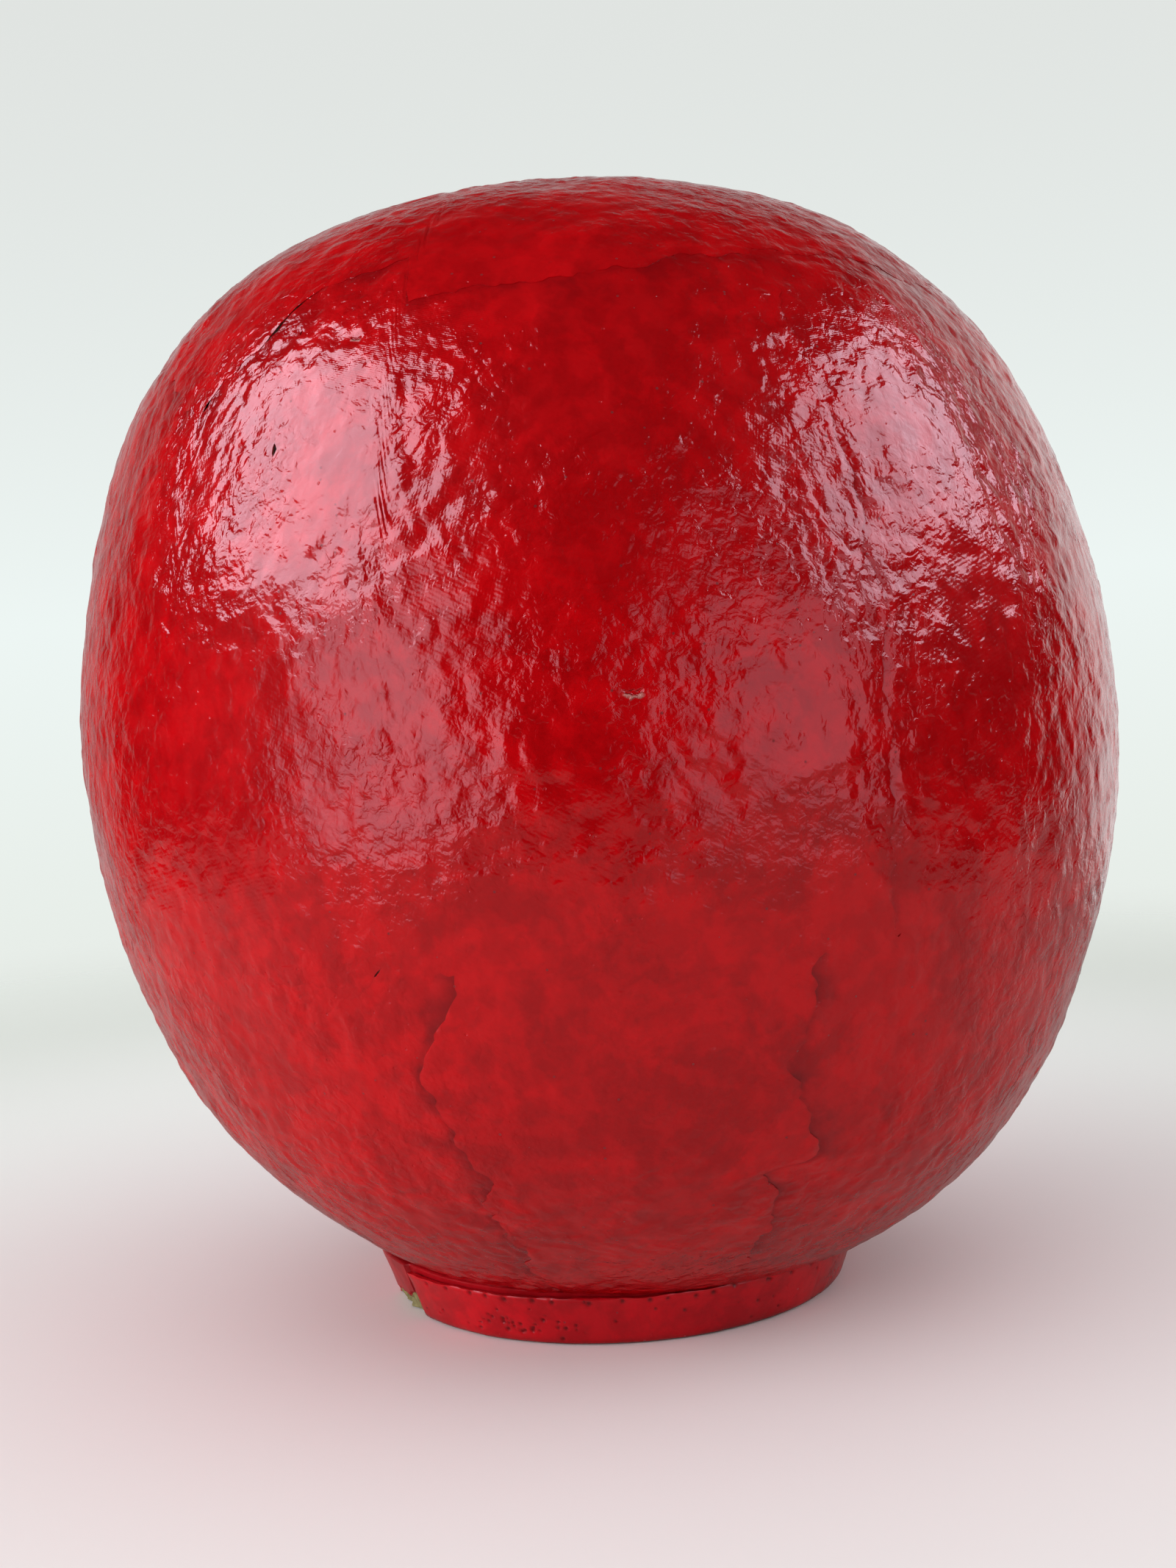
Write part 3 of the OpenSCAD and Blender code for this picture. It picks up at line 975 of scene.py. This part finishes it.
def band(tree, value, middle, near, far):
    """1 where a value is close to a middle, falling to 0 between a near and a far distance from it."""
    away = maths(tree, "ABSOLUTE", maths(tree, "SUBTRACT", value, middle))
    return ramp(tree, away, near, far, 1.0, 0.0)


def blend_colour(tree, share, first, second):
    """Two colours mixed by a share from 0 to 1."""
    return add(tree, "ShaderNodeMix", {"data_type": "RGBA"}, {0: share, 6: first, 7: second}).outputs[2]


def noise_node(tree, vector, scale, detail, roughness=0.55, distortion=0.0):
    """Blender's noise texture, read at a vector. The scale is in waves for each metre."""
    return add(tree, "ShaderNodeTexNoise", Vector=vector, Scale=scale, Detail=detail, Roughness=roughness,
               Distortion=distortion).outputs[0]


def stored(tree, name):
    """A value that the mesh stores for each of its points."""
    return add(tree, "ShaderNodeAttribute", {"attribute_name": name}).outputs["Fac"]


def dots(tree, place, scale, channel, above, near, far):
    """Scattered round dots: a cell has one where a channel of its random colour is above a limit."""
    cells = add(tree, "ShaderNodeTexVoronoi", Vector=place, Scale=scale)
    pick = add(tree, "ShaderNodeSeparateColor", None, {0: cells.outputs[1]})
    chosen = maths(tree, "GREATER_THAN", pick.outputs[channel], above)
    return times(tree, ramp(tree, cells.outputs[0], near, far, 1.0, 0.0), chosen)


def start_group(name, inputs, outputs):
    """An empty node group: inputs and outputs are (name, kind, default) and (name, kind)."""
    tree = bpy.data.node_groups.new(name, "ShaderNodeTree")
    for label, kind, default in inputs:
        socket = tree.interface.new_socket(label, in_out="INPUT", socket_type=kind)
        if default is not None:
            socket.default_value = default
    for label, kind in outputs:
        tree.interface.new_socket(label, in_out="OUTPUT", socket_type=kind)
    return tree, tree.nodes.new("NodeGroupInput").outputs, tree.nodes.new("NodeGroupOutput").inputs


def use_group(tree, group, **inputs):
    """The outputs of a group that is used with the given inputs."""
    return add(tree, "ShaderNodeGroup", {"node_tree": group}, **inputs).outputs


FLOAT, COLOUR, VECTOR = "NodeSocketFloat", "NodeSocketColor", "NodeSocketVector"

# %% [markdown]
# ## Red lacquer over paper
# Lacquer over paper is never one red. It soaks in unevenly, so brighter islands with fairly crisp shores
# stand in a deeper red, large ones and small ones. Dust and burst bubbles leave dark specks. Along a torn
# edge the lacquer pools and darkens, and painted shade darkens it further under the edge of the sheet above
# and in the strip's pinholes. The first group mixes that colour, the second makes the fine height: the
# paper's crossed laid lines, a fine crumple and pinholes. Both read places on the piece, so nothing slides
# when it is turned.

# %% Lacquer groups
# The dark red of specks, and of pooled lacquer with painted shade.
SPECK_POOL_AND_SHADE_RED = (0.09, 0.0008, 0.002, 1)
NICK_DEPTH = 2.2e-4


def build_lacquer_colour():
    """Deep and bright red, mixed by large and small islands, then darkened by specks and by pooled lacquer
    and painted shade.
    """
    tree, given, out = start_group("lacquer_colour", [
        ("Place", VECTOR, None), ("Deep Red", COLOUR, (0.2, 0, 0, 1)), ("Bright Red", COLOUR, (0.5, 0, 0, 1)),
        ("Tone", FLOAT, 0.5), ("Edge Dark", FLOAT, 0.0)], [("Color", COLOUR), ("Specks", FLOAT)])
    place = given["Place"]
    large = ramp(tree, noise_node(tree, place, 62.0, 7.0, 0.66, 0.5), 0.46, 0.56)
    small = ramp(tree, noise_node(tree, place, 240.0, 5.0, 0.6, 0.3), 0.42, 0.60)
    fine = noise_node(tree, place, 1100.0, 3.0, 0.6)
    share = scaled(tree, large, 0.26, times(tree, small, 0.28))
    share = scaled(tree, given["Tone"], 0.12, share)
    share = scaled(tree, fine, 0.30, share, clamp=True)
    colour = blend_colour(tree, share, given["Deep Red"], given["Bright Red"])
    specks = dots(tree, place, 520.0, 0, 0.80, 0.06, 0.13)
    # Specks, and pooled lacquer with painted shade, darken the red alike.
    dark = times(tree, maths(tree, "MAXIMUM", specks, given["Edge Dark"]), 0.7)
    tree.links.new(blend_colour(tree, dark, colour, SPECK_POOL_AND_SHADE_RED), out["Color"])
    tree.links.new(specks, out["Specks"])
    return tree


def build_paper_height():
    """Height in metres: crossed laid lines on the sheet's UV, then a crumple and pinholes on the place."""
    tree, given, out = start_group("paper_under_lacquer", [
        ("Place", VECTOR, None), ("Sheet", VECTOR, None), ("Laid Pitch", FLOAT, 0.0004),
        ("Laid Depth", FLOAT, 3e-6), ("Crumple Depth", FLOAT, 3e-5), ("Pinhole Depth", FLOAT, 5e-5)],
        [("Height", FLOAT)])
    place = given["Place"]
    sheet = add(tree, "ShaderNodeSeparateXYZ", None, {0: given["Sheet"]})
    turns = maths(tree, "DIVIDE", 2 * math.pi, given["Laid Pitch"])
    across = maths(tree, "SINE", times(tree, sheet.outputs[0], turns))
    down = maths(tree, "SINE", times(tree, sheet.outputs[1], turns))
    laid = scaled(tree, across, 0.5, down)
    where = ramp(tree, noise_node(tree, place, 45.0, 3.0), 0.42, 0.62, 0.15, 1.0)
    laid = times(tree, times(tree, laid, where), given["Laid Depth"])
    folds = maths(tree, "ABSOLUTE", plus(tree, noise_node(tree, place, 330.0, 2.0, 0.5, 0.3), -0.5))
    folded = scaled(tree, folds, 1.6, noise_node(tree, place, 620.0, 3.0, 0.5, 0.4))
    patches = ramp(tree, noise_node(tree, place, 70.0, 2.0), 0.38, 0.60, 0.45, 1.0)
    height = scaled(tree, folded, times(tree, given["Crumple Depth"], patches), laid)
    pits = times(tree, dots(tree, place, 640.0, 1, 0.78, 0.05, 0.16), given["Pinhole Depth"])
    tree.links.new(maths(tree, "SUBTRACT", height, pits), out["Height"])
    return tree


def build_nick():
    """A small bowed cut with a raised, worn lip under it, at a middle, with its own right and down."""
    tree, given, out = start_group("nick", [
        ("Place", VECTOR, None), ("Middle", VECTOR, None), ("Right", VECTOR, None), ("Down", VECTOR, None),
        ("Size", FLOAT, 1.0)], [("Worn", FLOAT), ("Height", FLOAT)])
    pair = {0: given["Place"], 1: given["Middle"]}
    away = add(tree, "ShaderNodeVectorMath", {"operation": "SUBTRACT"}, pair).outputs[0]
    unit = maths(tree, "DIVIDE", 1000.0, given["Size"])
    sides = []
    for side in ("Right", "Down"):
        part = add(tree, "ShaderNodeVectorMath", {"operation": "DOT_PRODUCT"}, {0: away, 1: given[side]})
        sides.append(times(tree, part.outputs["Value"], unit))
    x, y = sides
    wobble = scaled(tree, noise_node(tree, given["Place"], 1100.0, 3.0), 1.2, -0.6)
    bow = plus(tree, scaled(tree, times(tree, x, x), 0.16, y), wobble)
    along_cut = band(tree, x, 0.0, 0.8, 1.5)
    lip = times(tree, along_cut, band(tree, bow, 0.42, 0.04, 0.36))
    cut = times(tree, along_cut, band(tree, bow, -0.12, 0.05, 0.40))
    tree.links.new(lip, out["Worn"])
    raised = maths(tree, "SUBTRACT", times(tree, lip, 0.6), cut)
    tree.links.new(times(tree, raised, NICK_DEPTH), out["Height"])
    return tree


LACQUER_COLOUR = build_lacquer_colour()
PAPER_HEIGHT = build_paper_height()
NICK = build_nick()


def start_material(name):
    """A material with its Principled shader, ready for finishes, and the piece's own place."""
    material = bpy.data.materials.new(name)
    material.use_nodes = True
    tree = material.node_tree
    shader = tree.nodes["Principled BSDF"]
    place = tree.nodes.new("ShaderNodeTexCoord").outputs["Object"]
    return material, tree, shader, place


def bumped(tree, shader, height):
    """Feeds a height in metres to the shader's normal."""
    bump = add(tree, "ShaderNodeBump", Strength=1.0, Distance=1.0, Height=height)
    tree.links.new(bump.outputs[0], shader.inputs["Normal"])


def mark_frame(name):
    """Where a mark is on the leaned egg, in metres, and its right and down directions."""
    mark_phi, mark_a = MARKS[name]
    middle = leaned(egg_place(np.array(mark_phi), np.array(mark_a))[None])[0] * MM
    sideways = np.array([math.cos(math.radians(mark_phi)), math.sin(math.radians(mark_phi)), 0.0])
    down = np.cross(egg_direction(mark_phi, mark_a), sideways) * -1.0
    return tuple(middle), tuple(sideways), tuple(down)


def lacquer(name, deep, bright, roughness, laid_depth, crumple_depth, nicks=()):
    """Glossy lacquer: the two groups, with the sheet's tone and its pooled lacquer and painted shade read
    from the mesh.
    """
    material, tree, shader, place = start_material(name)
    colour = use_group(tree, LACQUER_COLOUR, Place=place, Deep_Red=deep, Bright_Red=bright,
                       Tone=stored(tree, "tone"), Edge_Dark=stored(tree, "edge_dark"))
    sheet = add(tree, "ShaderNodeUVMap", {"uv_map": "UVMap"}).outputs[0]
    paper = use_group(tree, PAPER_HEIGHT, Place=place, Sheet=sheet, Laid_Pitch=LAID_PITCH,
                      Laid_Depth=laid_depth, Crumple_Depth=crumple_depth, Pinhole_Depth=PINHOLE_DEPTH)
    paint, surface = colour["Color"], paper["Height"]
    rough = scaled(tree, noise_node(tree, place, 120.0, 3.0), 0.06, roughness - 0.03)
    rough = scaled(tree, colour["Specks"], 0.3, rough)
    for mark in nicks:
        middle, sideways, down = mark_frame(mark)
        nick = use_group(tree, NICK, Place=place, Middle=middle, Right=sideways, Down=down,
                         Size=NICK_SIZE[mark])
        paint = blend_colour(tree, times(tree, nick["Worn"], 0.6), paint, WORN_COLOUR)
        surface = plus(tree, surface, nick["Height"])
        rough = scaled(tree, nick["Worn"], 0.3, rough)
    tree.links.new(paint, shader.inputs["Base Color"])
    tree.links.new(rough, shader.inputs["Roughness"])
    shader.inputs["IOR"].default_value = LACQUER_IOR
    bumped(tree, shader, surface)
    return material


LACQUER_IOR = 1.40
NICK_SIZE = {"nick": 1.0, "chip": 0.55}
DEEP_RED = (0.235, 0.0002, 0.0014, 1)
BRIGHT_RED = (0.475, 0.0005, 0.0026, 1)
WORN_COLOUR = (0.38, 0.20, 0.17, 1)
LAID_PITCH = 0.0004
PINHOLE_DEPTH = 5.0e-5
body_lacquer = lacquer("red_lacquer", DEEP_RED, BRIGHT_RED, 0.13, 3.0e-6, 2.4e-4, ("nick", "chip"))
foot_lacquer = lacquer("foot_lacquer", (0.24, 0.001, 0.004, 1), (0.54, 0.002, 0.008, 1), 0.2, 1.0e-6, 8.0e-5)
print("lacquer materials ready")

# %% [markdown]
# ## Bare paper and clay
# The inner papers, the moulded core, the beads and the broken clay are all dull and fibrous. One group
# gives them a fibre: a noise pulled long in one direction, over a coarser cloud. Each material sets its
# own colours and sizes.

# %% Fibre group and dull materials


def build_fibre():
    """Two colours mixed by long fibres and a soft cloud, and the fibres' height in metres."""
    tree, given, out = start_group("fibres", [
        ("Place", VECTOR, None), ("Light", COLOUR, (0.8, 0.7, 0.6, 1)), ("Dark", COLOUR, (0.5, 0.4, 0.3, 1)),
        ("Fibre Scale", FLOAT, 900.0), ("Cloud Scale", FLOAT, 90.0), ("Depth", FLOAT, 3e-5)],
        [("Color", COLOUR), ("Height", FLOAT), ("Roughness", FLOAT)])
    pulled = add(tree, "ShaderNodeMapping", Vector=given["Place"], Rotation=(0.5, 0.9, 0.3),
                 Scale=(1.0, 0.14, 0.5)).outputs[0]
    fibre = ramp(tree, noise_node(tree, pulled, given["Fibre Scale"], 4.0, 0.6, 0.8), 0.35, 0.65)
    cloud = noise_node(tree, given["Place"], given["Cloud Scale"], 4.0, 0.6)
    share = scaled(tree, fibre, 0.55, times(tree, cloud, 0.5), clamp=True)
    tree.links.new(blend_colour(tree, share, given["Dark"], given["Light"]), out["Color"])
    tree.links.new(times(tree, share, given["Depth"]), out["Height"])
    tree.links.new(ramp(tree, cloud, 0.3, 0.7, 0.78, 0.95), out["Roughness"])
    return tree


FIBRES = build_fibre()


def dull(name, light, dark, fibre_scale, cloud_scale, depth):
    """A matt, fibrous material."""
    material, tree, shader, place = start_material(name)
    fibre = use_group(tree, FIBRES, Place=place, Light=light, Dark=dark, Fibre_Scale=fibre_scale,
                      Cloud_Scale=cloud_scale, Depth=depth)
    tree.links.new(fibre["Color"], shader.inputs["Base Color"])
    tree.links.new(fibre["Roughness"], shader.inputs["Roughness"])
    bumped(tree, shader, fibre["Height"])
    return material


liner_paper = dull("liner_paper", (0.74, 0.68, 0.56, 1), (0.52, 0.45, 0.33, 1), 700.0, 60.0, 2.5e-5)
moulded_paper = dull("moulded_paper", (0.62, 0.56, 0.46, 1), (0.40, 0.35, 0.27, 1), 420.0, 110.0, 7e-5)
bead_clay = dull("bead_clay", (0.50, 0.28, 0.17, 1), (0.30, 0.15, 0.09, 1), 1400.0, 260.0, 3e-5)


def foot_clay():
    """Lacquered clay, whose lacquer is gone where the mesh says bare: there it is tan, fibrous and matt."""
    material, tree, shader, place = start_material("weight_clay")
    fray = scaled(tree, noise_node(tree, place, 900.0, 3.0), 0.5, -0.25)
    bare = ramp(tree, plus(tree, stored(tree, "bare"), fray), 0.4, 0.6)
    red = use_group(tree, LACQUER_COLOUR, Place=place, Deep_Red=(0.20, 0.001, 0.003, 1),
                    Bright_Red=(0.42, 0.006, 0.012, 1), Tone=0.2, Edge_Dark=0.0)
    fibre = use_group(tree, FIBRES, Place=place, Light=(0.26, 0.22, 0.09, 1), Dark=(0.08, 0.065, 0.025, 1),
                      Fibre_Scale=1500.0, Cloud_Scale=500.0, Depth=1.2e-4)
    tree.links.new(blend_colour(tree, bare, red["Color"], fibre["Color"]), shader.inputs["Base Color"])
    tree.links.new(scaled(tree, bare, 0.62, 0.3), shader.inputs["Roughness"])
    shader.inputs["IOR"].default_value = LACQUER_IOR
    bumped(tree, shader, times(tree, fibre["Height"], scaled(tree, bare, 0.9, 0.1)))
    return material


weight_clay = foot_clay()
FINISHES = {"red_lacquer": body_lacquer, "liner_paper": liner_paper, "moulded_paper": moulded_paper,
            "bead_clay": bead_clay, "weight_clay": weight_clay}
for piece in [o for o in bpy.data.objects if o.type == "MESH" and "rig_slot" in o]:
    finish = foot_lacquer if piece.name.startswith("foot_strip") else FINISHES[piece["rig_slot"]]
    piece.data.materials.clear()
    piece.data.materials.append(finish)
print("materials:", [m.name for m in bpy.data.materials])

# %% [markdown]
# ## Floor, backdrop and light
# The shaker stands on a pale paper sweep between two windows, in a room that is dark behind the camera.
# Gloss shows the room, so the room is part of the finish: two bright windows make the large highlights,
# two dull pale boards the soft patches below them, and the dark room the deep red between them. The floor
# is a real, matt sheet that fades out with distance into a pale backdrop. Light is painted into its colour:
# a pink near the foot stands for the red light the egg throws back, and a darker grey further out for
# painted shade.

# %% Floor
FLOOR_HALF = 2.5
FLOOR_FADE = (0.26, 0.52)
# Painted light: the pink near the foot is painted red bounce light from the egg, and the darker far colour is
# painted shade.
FLOOR_NEAR_PAINTED_BOUNCE = (0.80, 0.735, 0.745, 1)
FLOOR_MIDDLE = (0.775, 0.785, 0.765, 1)
FLOOR_FAR_PAINTED_SHADE = (0.67, 0.70, 0.655, 1)
FLOOR_IN_GLOSS = (0.38, 0.37, 0.36, 1)

floor_mesh = bpy.data.meshes.new("floor")
corners = [(x * FLOOR_HALF, y * FLOOR_HALF, 0) for x, y in ((-1, -1), (1, -1), (1, 1), (-1, 1))]
floor_mesh.from_pydata(corners, [], [(0, 1, 2, 3)])
floor = bpy.data.objects.new("floor", floor_mesh)
bpy.context.scene.collection.objects.link(floor)
floor_paper, tree, shader, place = start_material("floor_paper")
in_gloss = tree.nodes.new("ShaderNodeLightPath").outputs["Is Glossy Ray"]
far = add(tree, "ShaderNodeVectorMath", {"operation": "LENGTH"}, {0: place}).outputs["Value"]
sweep = blend_colour(tree, ramp(tree, far, 0.05, 0.20), FLOOR_NEAR_PAINTED_BOUNCE, FLOOR_MIDDLE)
sweep = blend_colour(tree, ramp(tree, far, 0.16, 0.32), sweep, FLOOR_FAR_PAINTED_SHADE)
tree.links.new(blend_colour(tree, in_gloss, sweep, FLOOR_IN_GLOSS), shader.inputs["Base Color"])
shader.inputs["Roughness"].default_value = 0.75
shader.inputs["Specular IOR Level"].default_value = 0.25
tree.links.new(ramp(tree, far, *FLOOR_FADE, 1.0, 0.0), shader.inputs["Alpha"])
floor_mesh.materials.append(floor_paper)
print("floor fades out between", FLOOR_FADE, "m")

# %% [markdown]
# The backdrop is the world, and each kind of ray sees its own. What the camera sees is a pale grey-green
# with painted light: brightest near the horizon, darker above it and below it. What the gloss sees is the
# dark room in front, the pale backdrop behind, and two dull boards as soft-edged windows of direction:
# left, right, low and high edges in degrees, the softness of each, and a strength. What lights the colours
# is a plain fill, stronger from above.

# %% Backdrop
BOARD_LEFT = ((-61.0, -31.0, -16.0, 21.0), (16, 8, 5, 7), 3.3)
BOARD_RIGHT = ((19.0, 58.0, -28.0, 23.0), (8, 0.8, 5, 8), 1.6)
ROOM_DARK = 0.006
BACKDROP = 0.76
BACKDROP_SLANT = 0.95
FILL_LOW = 0.19
FILL_HIGH = 0.80
# The camera's backdrop colour by elevation, with painted light: brightest near the horizon.
BACKDROP_PAINTED_LIGHT_STOPS = ((0.0, (0.75, 0.76, 0.72, 1)), (0.36, (0.81, 0.86, 0.82, 1)), (0.62, (0.85, 0.92, 0.90, 1)),
              (1.0, (0.745, 0.77, 0.75, 1)))

world = bpy.data.worlds.new("studio")
world.use_nodes = True
bpy.context.scene.world = world
tree = world.node_tree
tree.nodes.clear()
direction = tree.nodes.new("ShaderNodeTexCoord").outputs["Generated"]
to_right, to_back, to_top = add(tree, "ShaderNodeSeparateXYZ", None, {0: direction}).outputs
azimuth = maths(tree, "DEGREES", maths(tree, "ARCTAN2", to_right, times(tree, to_back, -1.0)))
elevation = maths(tree, "DEGREES", maths(tree, "ARCSINE", to_top))


def board(edges, softness, strength):
    """A pale board in the room, as a window of direction with its own softness on each side."""
    left, right, low, high = edges
    soft_left, soft_right, soft_low, soft_high = softness
    wide = times(tree, ramp(tree, azimuth, left - soft_left, left + soft_left),
                 ramp(tree, azimuth, right - soft_right, right + soft_right, 1.0, 0.0))
    tall = times(tree, ramp(tree, elevation, low - soft_low, low + soft_low),
                 ramp(tree, elevation, high - soft_high, high + soft_high, 1.0, 0.0))
    return times(tree, times(tree, wide, tall), strength)


boards = plus(tree, board(*BOARD_LEFT), board(*BOARD_RIGHT))
behind = times(tree, ramp(tree, to_back, 0.30, 0.72), ramp(tree, to_top, 0.1, 0.85, 1.0, 0.05))
behind = times(tree, behind, scaled(tree, to_right, BACKDROP_SLANT, 1.0))
gloss = plus(tree, scaled(tree, behind, BACKDROP, ROOM_DARK), boards)
red = scaled(tree, boards, 0.3, times(tree, gloss, 0.96))
blue = scaled(tree, boards, 0.17, gloss)
mirrored = add(tree, "ShaderNodeCombineColor", None, {0: red, 1: gloss, 2: blue}).outputs[0]
fill = scaled(tree, ramp(tree, to_top, 0.1, 0.9), FILL_HIGH, FILL_LOW)
seen = add(tree, "ShaderNodeValToRGB", None, {0: ramp(tree, elevation, -25.0, 22.0)})
while len(seen.color_ramp.elements) < len(BACKDROP_PAINTED_LIGHT_STOPS):
    seen.color_ramp.elements.new(0.5)
for element, (position, colour) in zip(seen.color_ramp.elements, BACKDROP_PAINTED_LIGHT_STOPS):
    element.position = position
    element.color = colour
rays = tree.nodes.new("ShaderNodeLightPath")
lit = blend_colour(tree, rays.outputs["Is Glossy Ray"], fill, mirrored)
shown = blend_colour(tree, rays.outputs["Is Camera Ray"], lit, seen.outputs[0])
background = add(tree, "ShaderNodeBackground", Color=shown, Strength=1.0)
tree.links.new(background.outputs[0], tree.nodes.new("ShaderNodeOutputWorld").inputs[0])
print("backdrop ready")

# %% [markdown]
# Each window is an area lamp at arm's length, high at the side, and makes only the gloss. A wider, lower
# lamp beside it lights only the colours, so the strength of the highlight and of the red can be set
# apart. A lamp is given by its direction, its width and height as seen from the egg, in degrees, and its
# radiance.

# %% Windows
LAMP_DISTANCE = 1.3
WINDOWS = {"left_window": (-68.5, 36.0, 46.0, 32.0, 8.4), "right_window": (82.0, 31.5, 45.0, 29.0, 6.2)}
WASHES = {"left_wash": (-66.0, 8.0, 72.0, 40.0, 4.6), "right_wash": (80.0, 20.0, 72.0, 44.0, 1.4)}
WINDOW_COLOUR = (1.12, 0.92, 1.09)
WASH_COLOUR = (0.97, 1.0, 1.0)
AIM = Vector((0, 0, 0.1))


def add_lamp(name, azimuth_deg, elevation_deg, wide_deg, tall_deg, radiance, gloss_only):
    """An area lamp that fills a given window of direction with a given radiance."""
    lamp = bpy.data.lights.new(name, "AREA")
    lamp.shape = "RECTANGLE"
    lamp.size = 2 * LAMP_DISTANCE * math.tan(math.radians(wide_deg / 2))
    lamp.size_y = 2 * LAMP_DISTANCE * math.tan(math.radians(tall_deg / 2))
    lamp.energy = radiance * math.pi * lamp.size * lamp.size_y
    lamp.color = WINDOW_COLOUR if gloss_only else WASH_COLOUR
    holder = bpy.data.objects.new(name, lamp)
    bpy.context.scene.collection.objects.link(holder)
    az, el = math.radians(azimuth_deg), math.radians(elevation_deg)
    towards = Vector((math.cos(el) * math.sin(az), -math.cos(el) * math.cos(az), math.sin(el)))
    holder.location = AIM + towards * LAMP_DISTANCE
    holder.rotation_euler = towards.to_track_quat("Z", "Y").to_euler()
    holder.visible_glossy = gloss_only
    holder.visible_diffuse = not gloss_only
    holder.visible_camera = False


for lamps, gloss_only in ((WINDOWS, True), (WASHES, False)):
    for name, values in lamps.items():
        add_lamp(name, *values, gloss_only)
print("lamps:", len(bpy.data.lights))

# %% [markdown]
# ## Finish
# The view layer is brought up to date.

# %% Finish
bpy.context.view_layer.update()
